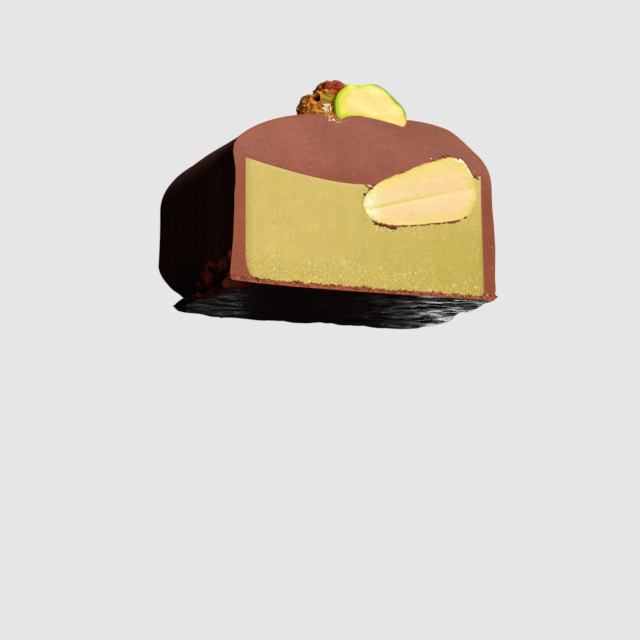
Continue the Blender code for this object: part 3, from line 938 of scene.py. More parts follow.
def moulded_chocolate(colours):
    """The glossy outside: waves and scuffs, painted shade and wet streaks underneath, and rough where
    chipped, with a painted warm glow on the chipped chocolate.
    """
    nodes = Finish("moulded_chocolate", 0.3)
    place = nodes.place
    above = nodes.ramp(nodes.split(place)[2], 0.45, 0.7)
    waves = nodes.noise(place, 0.35, 3.0, 0.5)
    scuffs = nodes.smears(place, 1.1, 0.5, 0.5)
    tone = nodes.tint(colours.moulded, waves, 0.35)
    # Painted shade: the underside is darkened to half its colour
    tone = nodes.tint(tone, above * 0.5, 0.5)
    chipped = nodes.value_of("chipped")
    torn = nodes.noise(nodes.scaled(place, (0.5, 0.3, 0.8)), 1.6, 3.0, 0.6)
    # The chipped chocolate's orange is partly a painted warm glow of light bounced up from below
    nodes.paint(nodes.blend(chipped, tone, nodes.tint(colours.chipped, torn, 0.85)))
    scuffed = nodes.ramp(scuffs, 0.3, 0.75, 0.22, 0.5)
    streaks = nodes.noise(nodes.scaled(place, (0.2, 0.55, 0.0)), 1.0, 4.0, 0.6)
    wet = nodes.ramp(streaks, 0.4, 0.56, 0.62, 0.24)
    roughness = scuffed * above + wet * (1.0 - above)
    nodes.roughen(nodes.larger(roughness, chipped * 0.6))
    height = waves + scuffs * nodes.ramp(above, 0.0, 1.0, 0.05, 0.12) + chipped * (torn * 1.2)
    nodes.bump(height, 0.5, 0.35)
    return nodes.material


def cut_chocolate(colours):
    """Matt cut chocolate: smears, pale specks, a thin orange rim along the cut face's edge that is painted
    highlight, an orange-brown crust along the base, and dark pits in the crust that are painted shade.
    """
    nodes = Finish("cut_chocolate", 0.65, 0.12)
    place = nodes.place
    x, _, z = nodes.split(place)
    smears = nodes.smears(place, 1.2, 0.3, 0.55)
    slanted = nodes.tilted(place, SCRATCH_TILT)
    scratches = nodes.noise(nodes.scaled(slanted, (0.35, 1.0, 3.6)), 1.0, 3.0, 0.7)
    grain = nodes.noise(place, 5.5, 2.0, 0.6)
    clouds = nodes.noise(place, 0.16, 2.0)
    side = nodes.ramp(x, -17.0, 17.0, 0.55, 0.45)
    tone = nodes.blend(nodes.ramp(z, 17.5, 11.0), colours.cut, colours.cut_low)
    for value, strength in ((side, 0.75), (clouds, 0.22), (smears, 0.24), (grain, 0.24), (scratches, 0.2)):
        tone = nodes.tint(tone, value, strength)
    # Painted highlight: the thin orange rim along the cut face's edge, where light catches it
    rim = nodes.ramp(nodes.value_of("edge_mm"), 0.34, 0.05)
    tone = nodes.blend(rim * 0.8, tone, colours.crust_and_rim_highlight)
    low = nodes.ramp(z, 1.5, 0.9)
    rough_base = nodes.noise(place, 2.6, 3.0, 0.7)
    tone = nodes.blend(low * 0.8, tone, colours.crust_and_rim_highlight)
    tone = nodes.tint(tone, rough_base, low * 1.2)
    # Painted shade in the pits of the base crust, which the bump sinks
    pits = low * nodes.ramp(rough_base, 0.38, 0.3)
    tone = nodes.blend(pits, tone, colours.pit_shade)
    specks = nodes.specks(place, 1.25, 0.42, 0.11)
    nodes.paint(nodes.blend(specks * 0.7, tone, colours.speck))
    nodes.bump(smears - pits * 1.5 + specks * 0.3, 0.35, 0.12)
    return nodes.material


def cut_cream(colours):
    """Pistachio filling: sandy, with pale grains near its base and a smooth, streaked upper part."""
    nodes = Finish("pistachio_cream", 0.7, 0.12)
    place = nodes.place
    x, _, z = nodes.split(place)
    wavy_z = z - nodes.noise(place, 0.3, 2.0) * 2.4 + x * 0.03
    sandy = nodes.ramp(wavy_z, 3.75, 1.3)
    shade = nodes.ramp(x, -12.0, 15.0) * nodes.ramp(z, 15.0, 4.0)
    low_shade = nodes.ramp(z, 5.0, 1.5, 0.0, 0.45)
    tone = nodes.blend(nodes.larger(shade, low_shade), colours.cream, colours.cream_shade)
    smears = nodes.smears(place, 0.9, 0.1, 0.3)
    tone = nodes.tint(tone, smears, 0.13)
    mottled = nodes.noise(place, 1.3, 4.0, 0.7)
    tone = nodes.blend(nodes.ramp(mottled, 0.5, 0.68) * 0.3, tone, colours.cream_pale)
    rich = nodes.ramp(mottled, 0.5, 0.34) * nodes.ramp(sandy, 0.0, 1.0, 0.3, 0.55)
    tone = nodes.blend(rich, tone, colours.cream_rich)
    sand = nodes.add("TexVoronoi", None, {"Vector": place, "Scale": 7.0})
    brightness, bulge = nodes.luck(sand)
    tone = nodes.tint(tone, brightness, nodes.ramp(sandy, 0.0, 1.0, 0.06, 0.15))
    lumps = nodes.specks(place, 1.5, 0.4, 0.34)
    grains = nodes.larger(nodes.specks(place, 3.2, 0.3, 0.36), lumps * 0.8)
    tone = nodes.blend(grains * nodes.ramp(sandy, 0.0, 1.0, 0.03, 0.6), tone, colours.cream_grain)
    left, right = FILLING_LEFT - BASE_WIDTH / 2, FILLING_RIGHT - BASE_WIDTH / 2
    sides = nodes.larger(nodes.ramp(x, left + 1.2, left), nodes.ramp(x, right - 0.9, right))
    tone = nodes.tint(tone, 0.5 - sides * 0.16, 0.6)
    top_edge = nodes.ramp(nodes.value_of("edge_mm"), 0.7, 0.0) * nodes.ramp(z, 10.5, 12.0)
    nodes.paint(nodes.blend(top_edge * (0.45 - sides * 0.3), tone, colours.cream_pale))
    nodes.bump(bulge * nodes.ramp(sandy, 0.0, 1.0, 0.25, 1.0) + smears * 0.4, 0.4, 0.12)
    return nodes.material


def cut_kernel_flesh(colours):
    """Cut kernel: peach in the middle, yellow above, a green seam and rim, and a pale broken end with a white
    streak that is partly painted highlight.
    """
    nodes = Finish("cut_kernel_flesh", 0.42, 0.35)
    middle = (KERNEL_X - BASE_WIDTH / 2, 0.0, KERNEL_Z)
    turned = nodes.tilted(nodes.vector("SUBTRACT", nodes.place, middle), KERNEL_TILT)
    along, _, across = nodes.split(turned)
    clouds = nodes.noise(turned, 0.45, 3.0, 0.55)
    mottle = nodes.noise(turned, 1.6, 3.0, 0.6)
    edge = nodes.value_of("edge_mm")
    upper = nodes.ramp(across + clouds * 2.4, 1.6, 4.6)
    tone = nodes.blend(upper * 0.75, colours.kernel, colours.kernel_yellow)
    tone = nodes.tint(tone, mottle, 0.1)
    rim = nodes.ramp(edge - clouds * 0.9, 0.95, -0.3)
    tone = nodes.blend(rim * 0.95, tone, colours.kernel_yellow)
    left_end = nodes.ramp(along - clouds * 1.5, -5.2, -7.4)
    tone = nodes.blend(left_end * 0.85, tone, colours.kernel_tip)
    ends = nodes.larger(nodes.ramp(along, 4.0, 7.0), nodes.ramp(along, -4.5, -7.0))
    greener = nodes.ramp(edge, 0.95, 0.1) * ends
    tone = nodes.blend(greener * 0.8, tone, colours.kernel_green)
    toasted = nodes.ramp(edge, 0.26, 0.03) * nodes.ramp(mottle, 0.36, 0.5)
    tone = nodes.blend(toasted * 0.85, tone, colours.gold)
    off_seam = nodes.math("ABSOLUTE", across - KERNEL_SEAM - along * KERNEL_SEAM_SLOPE + mottle * 0.08)
    seam = nodes.ramp(off_seam, 0.42, 0.0) * nodes.ramp(along, 5.5, -5.5, 0.35, 0.8)
    tone = nodes.blend(seam, tone, colours.kernel_green)
    # The white streak along the broken left end: pale broken kernel, partly painted highlight
    tip = nodes.ramp(along - mottle * 1.6, -6.6, -7.8) * nodes.ramp(edge + mottle * 0.5, 0.4, 0.75)
    chips = nodes.ramp(along, 5.4, 6.2) * nodes.ramp(across, 0.6, 1.4) * nodes.ramp(edge - mottle, -0.1, -0.4)
    nodes.paint(nodes.blend(nodes.larger(tip * 0.75, chips) * 0.9, tone, colours.chip))
    nodes.bump(mottle - seam * 0.3, 0.25, 0.12)
    nodes.soften(0.25, 0.5)
    return nodes.material


def slice_flesh(colours):
    """Cut face of the slice on top: pale yellow inside a lime and olive rim, golden along its lower edge."""
    nodes = Finish("slice_flesh", 0.4, 0.35)
    place = nodes.place
    clouds = nodes.noise(place, 0.8, 3.0)
    fine = nodes.noise(place, 3.0, 3.0, 0.6)
    edge = nodes.value_of("edge_mm") - clouds * 0.3
    upper, left = nodes.value_of("upper_edge"), nodes.value_of("left_edge")
    rimmed = nodes.larger(upper, left)
    tone = nodes.tint(colours.slice, clouds, 0.12)
    golden = nodes.ramp(edge - left * 1.1, 0.75, -0.1)
    tone = nodes.blend(golden * 0.85, tone, colours.slice_gold)
    lime = nodes.ramp(edge - (left * 0.54 + 0.24), 0.3, -0.2) * rimmed * nodes.ramp(fine, 0.2, 0.6, 0.75, 1.0)
    tone = nodes.blend(lime * 0.9, tone, colours.lime)
    green = nodes.ramp(edge, 0.55, 0.05) * rimmed
    tone = nodes.blend(green * 0.75, tone, colours.leaf)
    to_the_right = nodes.ramp(nodes.split(place)[0], -1.0, 3.0, 0.05, 0.85)
    dark = nodes.ramp(edge, 0.28, -0.04) * upper * to_the_right
    tone = nodes.blend(dark, tone, colours.olive)
    contact = nodes.ramp(edge, 0.02, -0.16) * (1.0 - rimmed)
    nodes.paint(nodes.blend(contact * 0.6, tone, colours.gold))
    nodes.bump(fine, 0.25, 0.08)
    nodes.soften(0.35, 0.7)
    return nodes.material


def green_skin(colours):
    """Thin green skin round the slice, mottled lime and olive."""
    nodes = Finish("green_skin", 0.4, 0.4)
    patches = nodes.noise(nodes.place, 0.7, 4.0, 0.6)
    veins = nodes.noise(nodes.scaled(nodes.place, (1.2, 0.5, 1.2)), 1.6, 3.0, 0.6)
    tone = nodes.blend(nodes.ramp(patches, 0.52, 0.78), colours.lime, colours.olive)
    nodes.paint(nodes.tint(tone, veins, 0.3))
    nodes.bump(veins, 0.4, 0.12)
    nodes.soften(0.8, 2.0)
    return nodes.material


def roasted_flesh(colours):
    """Roasted kernel: red-brown skin, orange-brown hollows and golden ridges with painted shade and highlight
    from the relief's height, a hollow painted near black as shade, an olive side whose dark lines are painted
    shade in its grooves, and painted light on its left side.
    """
    nodes = Finish("roasted_kernel", 0.5, 0.1)
    place = nodes.place
    fine = nodes.noise(place, 4.5, 4.0, 0.7)
    blotches = nodes.noise(place, 1.3, 3.0, 0.6)
    drawn = nodes.scaled(nodes.tilted(place, FIBRE_TILT), (1.1, 2.0, 3.4))
    fibres = nodes.noise(drawn, 1.0, 3.0, 0.65, 0.6)
    # Painted light: the roasted piece's left side, which faces away from the key light, is lightened and made
    # more golden
    left = nodes.ramp(nodes.split(place)[0], -5.7, -7.0)
    # The relief's height paints shade in the hollows and highlight on the ridges: dark red-brown low, rust,
    # then gold high
    height = nodes.value_of("height") + (fine - 0.5) * 0.5 + (fibres - 0.5) * 3.4 + left * 0.2
    flesh = nodes.blend(nodes.ramp(height, 0.1, 0.55), colours.roast, colours.rust)
    flesh = nodes.blend(nodes.ramp(height, 0.6, 1.2), flesh, colours.gold)
    green = nodes.ramp(blotches, 0.4, 0.6, 0.6, 1.0) * nodes.value_of("olive")
    flesh = nodes.blend(green, flesh, colours.roast_green)
    # Painted shade: the grooves of the olive side are painted dark
    flesh = nodes.blend(nodes.value_of("groove"), flesh, colours.pit_shade)
    flesh = nodes.tint(flesh, fine, 0.5)
    bark = nodes.blend(nodes.ramp(height, 0.35, 1.0), colours.roast, colours.rust)
    bark = nodes.tint(bark, fine, 1.2)
    skin = nodes.value_of("skin") + (blotches - 0.5) * 0.8 - left * 0.04
    share = nodes.ramp(skin, 0.35, 0.6)
    tone = nodes.tint(nodes.blend(share, flesh, bark), left + 0.5, 0.9)
    tone = nodes.vector("MINIMUM", tone, ROAST_BRIGHTEST)
    # Painted shade: the hollow is painted near black
    nodes.paint(nodes.blend(nodes.ramp(nodes.value_of("hollow"), 0.15, 0.6), tone, ROAST_HOLLOW_SHADE))
    nodes.roughen(nodes.ramp(share, 0.0, 1.0, 0.65, 0.55))
    nodes.bump(blotches + fine * 0.6, 0.5, 0.15)
    return nodes.material


def mottled_finish(name, gloss, grain, spread, first, second, relief, tint=0.0):
    """A crumb's finish, which goes from one colour to another in small blotches.

    gloss is its roughness and specular level, grain and spread the size and sharpness of the blotches, and
    relief the strength and depth of its bumps.
    """
    nodes = Finish(name, *gloss)
    mottle = nodes.noise(nodes.place, grain, 3.0, 0.7)
    tone = nodes.blend(nodes.ramp(mottle, *spread), first, second)
    nodes.paint(nodes.tint(tone, mottle, tint))
    nodes.bump(mottle, *relief)
    return nodes.material


def papery_skin(colours):
    """Dark red-brown bits of kernel skin, orange-brown where they are thin."""
    blotches = (2.6, (0.38, 0.6), colours.husk, colours.roast)
    return mottled_finish("papery_skin", (0.5, 0.3), *blotches, (0.6, 0.1), 0.6)


def roasted_crumb(colours):
    """Golden to orange-brown crumbs of roasted kernel."""
    blotches = (2.2, (0.35, 0.65), colours.rust, colours.gold)
    return mottled_finish("roasted_crumb", (0.6, 0.3), *blotches, (0.5, 0.1), 0.5)


def chocolate_crumb(colours):
    """Crumbs of cut chocolate, from dark brown to orange."""
    blotches = (1.6, (0.35, 0.6), colours.cut_low, colours.crust_and_rim_highlight)
    return mottled_finish("chocolate_crumb", (0.5, 0.3), *blotches, (0.5, 0.1), 0.8)


def pale_crumb(colours):
    """Whitish kernel crumbs."""
    blotches = (3.0, (0.45, 0.75), colours.chip, colours.kernel_yellow)
    return mottled_finish("pale_crumb", (0.6, 0.3), *blotches, (0.5, 0.1))


def smeared_filling(colours):
    """Flecks of filling that the knife dragged over the base."""
    blotches = (2.0, (0.4, 0.65), colours.speck, colours.cream_grain)
    return mottled_finish("smeared_filling", (0.6, 0.2), *blotches, (0.4, 0.08))


def floor_material(colours):
    """Pale floor that can't be seen from below."""
    nodes = Finish("pale_floor", 0.9, 0.1)
    dust = nodes.noise(nodes.place, 0.05, 2.0)
    nodes.paint(nodes.tint(colours.backdrop, dust, 0.02))
    from_below = nodes.out(nodes.add("NewGeometry"), "Backfacing")
    sides = nodes.mix_shaders(from_below, nodes.out(nodes.shader), nodes.out(nodes.add("BsdfTransparent")))
    nodes.put(nodes.tree.nodes["Material Output"].inputs["Surface"], sides)
    return nodes.material


# ---------------------------------------------------------------- pieces

PLAN, FACE = (0, 1), (0, 2)  # the two coordinates of a sheet that is laid out level, or like the cut face


def shell_piece(form, colours):
    """The chocolate shell: moulded outside, uneven underside, pocket for the filling, and the cut face."""
    surface = Surface()
    rings = [form.lip_ring(z, inset) for z, inset in LIP_RINGS]
    rings += [form.wall_ring(z) for z in steps(NOTCH_Z, form.shoulder, WALL_RING_STEP)]
    shares = [i / DOME_RINGS for i in range(1, DOME_RINGS + 1)]
    rings += [form.dome_ring(DOME_LAST_ANGLE * share**DOME_SPREAD) for share in shares]
    outer = [surface.add_row(ring) for ring in rings]
    surface.add_strips(outer)
    base_front = straight(surface, outer[0][-1], outer[0][0], 0.25)
    top_front = straight(surface, outer[-1][0], outer[-1][-1], 0.25)
    surface.add_sheet([outer[0] + base_front], PLAN, 0.3, lambda x, y: 0.0, 0, 2)

    def ridge_height(x, y):
        return form.top - DOME_TOP_GAP - form.cap_drop(x, y)

    surface.add_sheet([outer[-1] + top_front[::-1]], PLAN, 0.35, ridge_height, 0, 3)
    skin_points = len(surface.points)

    pocket = [surface.add_row(ring) for ring in form.filling_rings()]
    surface.add_strips(pocket)
    pocket_base = ragged_front(surface, form, pocket[0])
    pocket_top = straight(surface, pocket[-1][0], pocket[-1][-1], 0.3)
    close_filling(surface, form, pocket, pocket_base, pocket_top)

    front_loop = front_outline(outer, base_front, top_front)
    pocket_loop = front_outline(pocket, pocket_base, pocket_top)
    new = surface.add_sheet([front_loop, pocket_loop], FACE, form.fine, lambda x, z: 0.0, 1, 4)
    edge = face_edge_values(surface, [front_loop, pocket_loop], new)
    surface.keep_value("edge_mm", edge)
    surface.keep_value("chipped", [chipped_share(point) for point in surface.points])

    front = set(front_loop) | set(pocket_loop)
    face = set(new)
    covered = slice_covers(surface)

    def relief(i, place, normal):
        if i in covered:
            return form.behind_slice(place)
        if i in face:
            depth = 0.04 * uneven(place.x, 0, place.z, 0.35, 5) + 0.02 * uneven(place.x, 0, place.z, 1.2, 6)
            crumbly = fade(1.0, 1.6, place.z)
            pits = uneven(place.x, 0, place.z, 2.2, 12) * crumbly * 0.09
            soft = smooth_step(0.0, 0.4, edge[i])
            lifted = place.z + form.base_lift(place)
            return form.behind_kernel(Vector((place.x, (depth + pits) * soft, lifted)))
        if i >= skin_points:
            return form.behind_kernel(place)
        push = outside_relief(place)
        moved = place + normal * push
        if i in front:
            moved = Vector((place.x + normal.x * push, place.y, place.z + normal.z * push))
        moved.z = max(moved.z, 0.0)
        if place.z < 0.01:
            moved = place + Vector((0.0, 0.0, underside_relief(place)))
        moved.z += form.base_lift(place)
        moved.x += side_shape(place)
        return moved

    materials = [moulded_chocolate(colours), cut_chocolate(colours)]
    return surface.build("praline_shell", materials, relief)


def slice_covers(surface):
    """The points near the cut face that lie behind the slice on top."""
    outline = np.array([list(point) for point in smooth_loop(SLICE_OUTLINE, 8)])
    places = np.array([[point.x, point.z] for point in surface.points])
    depths = np.array([point.y for point in surface.points])
    within = inside(places, [outline]) & (distance_to(places, outline) > 0.13) & (depths < SLICE_COVER_DEPTH)
    return set(np.nonzero(within)[0].tolist())


def chipped_share(place):
    """1 on the rough chocolate low on the left wall, which tapers away from the cut, and 0 elsewhere."""
    edge_z = 4.4 - 0.012 * place.y**2 + 0.5 * uneven(place.x, place.y, 0, 0.5, 31)
    low = fade(edge_z - 0.7, edge_z + 0.2, place.z)
    return low * fade(1.0, 3.5, place.x) * fade(11.0, 14.0, place.y)


def outside_relief(place):
    """Slight unevenness of the moulded walls, and lumps low down where the foot was trimmed."""
    gentle = 0.05 * uneven(*place, 0.12, 1)
    low = fade(1.2, 5.2, place.z)
    drawn = (place.x * 0.45, place.y * 0.45, place.z)
    lumps = 0.16 * uneven(*drawn, 0.7, 2) + 0.08 * uneven(*drawn, 1.7, 3) * fade(8.0, 12.0, place.y)
    torn = chipped_share(place) * (0.32 * uneven(*drawn, 0.8, 32) + 0.2 * uneven(*drawn, 1.9, 33))
    return gentle + low * lumps * smooth_step(0.0, 1.5, place.y) + torn * smooth_step(0.0, 0.8, place.y)


def side_shape(place):
    """The burr at the cut's lower right corner."""
    burr = BURR * bell(place.z - BURR_Z, BURR_SPAN) * fade(0.0, BURR_DEPTH, place.y)
    return burr * smooth_step(*EDGE_RIGHT_FADE, place.x)


def wrinkled_share(x, y):
    """How wrinkled the underside is: most on the right, some at the left foot, and not in its middle."""
    left = 0.3 * fade(6.0, 11.0, x) * smooth_step(6.5, 9.0, y)
    right = smooth_step(17.0, 25.0, x + 0.25 * y)
    return max(left, right)


def underside_relief(place):
    """Wrinkles of the underside, which stay above the plane that the praline stands on."""
    edge = smooth_step(0.0, 1.0, place.y) * mix(0.15, 1.0, wrinkled_share(place.x, place.y))
    fine = 0.2 * smooth_step(12.0, 20.0, place.x) * uneven(place.x * 0.5, place.y, 0, 1.2, 8)
    wrinkles = 0.5 + 0.5 * uneven(place.x * 0.6, place.y, 0, 0.45, 7) + fine
    wrinkles += 0.5 * abs(uneven(place.x * 0.45, place.y + 0.25 * place.x, 0, 0.6, 52)) - 0.2
    return 0.34 * max(wrinkles, 0.0) * edge * (0.75 + 0.45 * uneven(place.x, place.y, 0, 0.22, 51))


def straight(surface, start, end, spacing):
    """New points on the straight line between two points, without its ends."""
    first, last = surface.points[start], surface.points[end]
    shares = steps(0.0, 1.0, spacing / max((last - first).length, 1e-6))[1:-1]
    return surface.add_row([first.lerp(last, share) for share in shares])


def ragged_front(surface, form, ring):
    """New points along the uneven lower edge of the cut filling, from its right end to its left end."""
    first, last = surface.points[ring[-1]], surface.points[ring[0]]
    shares = steps(0.0, 1.0, 0.16 / (last - first).length)[1:-1]
    places = [mix(first.x, last.x, share) for share in shares]
    return surface.add_row([(x, 0.0, form.base_height(x)) for x in places])


def close_filling(surface, form, rows, base, top):
    """Closes the filling's floor and the last strip of its top."""
    surface.add_sheet([rows[0] + base], PLAN, 0.8, form.base_height, 0, 5)

    def top_height(x, y):
        return form.filling_top(x, y, MENISCUS_REACH)

    surface.add_sheet([rows[-1] + top[::-1]], PLAN, 0.8, top_height, 0, 6)


def front_outline(rows, base, top):
    """The loop round the cut side of a stack of open rings."""
    return [row[0] for row in rows] + top + [row[-1] for row in reversed(rows)] + base


def face_edge_values(surface, loops, new):
    """For every point, how far it lies from the nearest edge of the cut face, in millimetres."""
    places = surface.flat_loop(new, FACE)
    values = np.zeros(len(surface.points))
    values[new] = np.min([distance_to(places, surface.flat_loop(loop, FACE)) for loop in loops], 0)
    return values


def filling_piece(form, colours):
    """The pistachio filling, sandy near its base, with room for the kernel."""
    surface = Surface()
    rows = [surface.add_row(ring) for ring in form.filling_rings()]
    surface.add_strips(rows)
    base = ragged_front(surface, form, rows[0])
    top = straight(surface, rows[-1][0], rows[-1][-1], 0.3)
    close_filling(surface, form, rows, base, top)
    loop = front_outline(rows, base, top)
    new = surface.add_sheet([loop], FACE, form.fine, lambda x, z: 0.0, 0, 7)
    edge = face_edge_values(surface, [loop], new)
    surface.keep_value("edge_mm", edge)
    face = set(new)

    def relief(i, place, normal):
        if i not in face:
            return form.behind_kernel(place)
        soft = smooth_step(0.0, 0.4, edge[i])
        sandy = fade(2.2, 4.2, place.z)
        sand = uneven(place.x, 0, place.z, 2.9, 9) * mix(0.006, 0.022, sandy)
        wave = 0.035 * uneven(place.x, 0, place.z, 0.4, 10)
        return form.behind_kernel(Vector((place.x, (sand + wave) * soft, place.z)))

    return surface.build("pistachio_filling_cut", [cut_cream(colours)], relief)


def kernel_piece(form, colours):
    """The halved kernel: its flat cut side, uneven at the broken left end, and its round back."""
    surface = Surface()
    last = KERNEL_TURNS - 1
    rows = []
    for i in range(KERNEL_STATIONS):
        angle = math.pi * (0.012 + 0.976 * i / (KERNEL_STATIONS - 1))
        along = -form.kernel_half * math.cos(angle)
        above, below = form.kernel_widths(along)
        depth = form.kernel_depth(along)
        row = []
        for j in range(KERNEL_TURNS):
            turn = math.pi * j / last
            across = (above if j < KERNEL_TURNS / 2 else below) * math.cos(turn)
            jagged = 0.09 * smooth_step(5.2, 6.0, along) if across > 0.5 else 0.0
            chipped = jagged * abs(uneven(along, 0, 0, 3.4, 34))
            across *= 1 + 0.02 * uneven(along, across, 0, 0.8, 11) - chipped
            x, z = form.kernel_place(along, across)
            row.append((x, depth * math.sin(turn) if 0 < j < last else -PROUD, z))
        rows.append(surface.add_row(row))
    surface.add_strips(rows)
    surface.faces += [tuple(rows[0]), tuple(rows[-1])]
    surface.finishes += [0, 0]
    loop = [row[0] for row in rows] + [row[-1] for row in reversed(rows)]
    new = surface.add_sheet([loop], FACE, form.fine * 0.8, lambda x, z: -PROUD, 0, 8)
    edge = face_edge_values(surface, [loop], new)
    surface.keep_value("edge_mm", edge)
    face = set(new)

    def relief(i, place, normal):
        if i not in face:
            return place
        along, across = form.kernel_offsets(place.x, place.z)
        soft = smooth_step(0.0, 0.3, edge[i])
        wave = 0.025 * uneven(along * 0.5, 0, across, 0.6, 12)
        line = across - KERNEL_SEAM - KERNEL_SEAM_SLOPE * along
        seam = 0.03 * bell(line, 0.26) * (1 - smooth_step(-2.0, 7.0, along) * 0.6)
        broken = fade(-7.1, -6.2, along + 0.4 * uneven(along, 0, across, 0.9, 13)) * 0.05
        crumbly = broken * (0.8 + 0.9 * uneven(along, 0, across, 1.8, 14))
        return Vector((place.x, (wave + seam + crumbly) * soft - PROUD, place.z))

    return surface.build("cut_kernel_half", [cut_kernel_flesh(colours)], relief)


def slice_piece(form, colours):
    """The kernel slice on top: flat cut face in front, green skin round it, rounded at the back."""
    surface = Surface()
    middle = Vector(SLICE_MIDDLE)
    outline = smooth_loop(SLICE_OUTLINE, 12)
    rows = []
    for i in range(SLICE_RINGS):
        share = i / (SLICE_RINGS - 1) * 0.985
        shrink = (1 - share**2.4) ** 0.5
        row = []
        for point in outline:
            outward = point - middle
            upwards = shrink if outward.y > 0 else 1.0
            inward = mix(shrink, 1.0, 0.25) if outward.x > 0 else (1 - share**5) ** 0.5
            place = middle + Vector((outward.x * inward, outward.y * upwards))
            row.append((place.x, share * form.slice_depth - PROUD, place.y))
        rows.append(surface.add_row(row))
    surface.add_strips(rows, 1, closed=True)
    surface.faces.append(tuple(rows[-1]))
    surface.finishes.append(1)
    new = surface.add_sheet([rows[0]], FACE, form.fine * 0.75, lambda x, z: -PROUD, 0, 9)
    edge = face_edge_values(surface, [rows[0]], new)
    surface.keep_value("edge_mm", edge)
    upper = [smooth_step(0.6, 1.05, (p.z - 21.0 + (p.x - 15.0) * 0.12) / 2.6) for p in surface.points]
    left = [fade(*SLICE_LEFT_FADE, p.x) for p in surface.points]
    surface.keep_value("upper_edge", upper)
    surface.keep_value("left_edge", left)
    face, rim = set(new), set(rows[0])

    def relief(i, place, normal):
        if i in face or i in rim:
            soft = smooth_step(0.0, 0.5, edge[i])
            bevel = SLICE_BEVEL * left[i] * max(1 - edge[i] / SLICE_BEVEL_WIDTH, 0.0) ** 2
            return Vector((place.x, place.y + bevel + 0.06 * soft * uneven(*place, 0.5, 15), place.z))
        bevel = SLICE_BEVEL * left[i] * (1 - place.y / form.slice_depth)
        rough = 0.05 * uneven(*place, 0.9, 16) + 0.03 * uneven(*place, 2.2, 17)
        return place + normal * rough + Vector((0.0, bevel, 0.0))

    return surface.build("topping_kernel_slice", [slice_flesh(colours), green_skin(colours)], relief)


def even_profile(curve, spacing):
    """Points evenly spaced along a line through the given points."""
    lengths = [0.0]
    for near, far in zip(curve, curve[1:]):
        lengths.append(lengths[-1] + math.dist(near, far))
    stops = steps(0.0, lengths[-1], spacing)
    return list(zip(*(np.interp(stops, lengths, column) for column in zip(*curve))))


def roast_front(x, z):
    """How far forward the roasted piece's plain shape comes at a place of its front view."""
    outward = Vector((x, z)) - Vector(ROAST_MIDDLE)
    rim = min((Vector(p) - Vector(ROAST_MIDDLE) for p in smooth_loop(ROAST_OUTLINE, 4)), key=outward.angle)
    share = min(outward.length / rim.length, 1.0)
    return ROAST_Y - ROAST_HALF_DEPTH * math.sqrt(1 - share**ROAST_ROUNDNESS)


def roast_marks(place):
    """What lies at a point of the roasted piece: skin, hollow, olive side, dark lines, height, which paints
    shade in the hollows and highlight on the ridges, and relief.
    """
    x, y, z = place
    front = fade(2.2, 3.4, y)
    cap_edge = CAP_EDGE_Z + CAP_EDGE_SLOPE * (x - CAP_EDGE_X) + 0.16 * uneven(x, y, 0, 1.3, 41)
    cap = smooth_step(-0.08, 0.14, z - cap_edge)
    behind = smooth_step(4.4, 5.4, y + 0.5 * uneven(*place, 0.8, 42))
    skin = max(cap, behind, 0.9 * max(uneven(*place, 0.8, 48) - 0.15, 0.0))
    hollow = front * bell(math.dist((x, z), (HOLE_X, HOLE_Z)), HOLE_RADIUS)
    across, up = (x - FACET_X) / FACET_HALF_WIDTH, (z - FACET_Z) / FACET_HALF_HEIGHT
    facet = front * fade(0.7, 1.1, math.hypot(across, up)) * (1 - cap)
    wavy = z + 0.1 * (x - FACET_X) ** 2 + 0.06 * x + 0.2 * uneven(x, 0, z, 0.8, 43)
    line = 0.5 - 0.5 * math.cos(math.tau * wavy / GROOVE_SPACING)
    groove = facet * smooth_step(0.55, 0.95, line) * smooth_step(-0.9, 0.2, uneven(x * 0.4, 0, z, 2.2, 49))
    crags = 0.15 * uneven(*place, 0.75, 44) + 0.18 * (0.35 - abs(uneven(*place, 1.25, 45)))
    crags += 0.1 * (0.3 - abs(uneven(*place, 2.7, 46)))
    off_ridge = x - RIDGE_X - RIDGE_SLANT * (z - RIDGE_Z)
    ridge = RIDGE * front * bell(off_ridge, RIDGE_SPAN) * smooth_step(23.9, 24.3, z)
    calmer_left = mix(0.6, 1.0, smooth_step(11.2, 12.8, x))
    out = crags * (1 - 0.7 * facet) * calmer_left + ridge * (1 - cap) - 0.1 * facet
    # height, which the colour follows, paints shade in hollows and highlight on ridges, with a painted golden
    # highlight just under the cap's edge
    height = 0.5 + out / 0.36 + 0.4 * front * (1 - cap) * bell(z - cap_edge + 0.28, 0.22)
    out += cap * (0.24 + 0.1 * uneven(*place, 1.5, 47)) - HOLE_DEPTH * hollow - GROOVE_DEPTH * groove
    return skin, hollow, facet, groove, height, out


def roast_piece(form, colours):
    """The roasted kernel piece: a skin cap, golden ridges, an olive side with dark lines, and a hollow."""
    surface = Surface()
    middle = Vector(ROAST_MIDDLE)
    outline = smooth_loop(ROAST_OUTLINE, 14)
    shares = [i / 200 for i in range(2, 201)]
    depths = [math.sqrt(1 - share**ROAST_ROUNDNESS) * ROAST_HALF_DEPTH for share in shares]
    curve = [(share * ROAST_RADIUS, -depth) for share, depth in zip(shares, depths)]
    curve += [(reach, -depth) for reach, depth in reversed(curve[:-1])]
    rows = []
    for reach, depth in even_profile(curve, ROAST_FINE):
        places = [middle + (point - middle) * reach / ROAST_RADIUS for point in outline]
        rows.append(surface.add_row([(place.x, ROAST_Y + depth, place.y) for place in places]))
    surface.add_strips(rows, closed=True)
    surface.faces += [tuple(rows[0]), tuple(rows[-1])]
    surface.finishes += [0, 0]
    marks = [roast_marks(point) for point in surface.points]
    for number, name in enumerate(("skin", "hollow", "olive", "groove", "height")):
        surface.keep_value(name, [mark[number] for mark in marks])

    def relief(i, place, normal):
        return place + normal * marks[i][5]

    return surface.build("topping_roasted_piece", [roasted_flesh(colours)], relief)


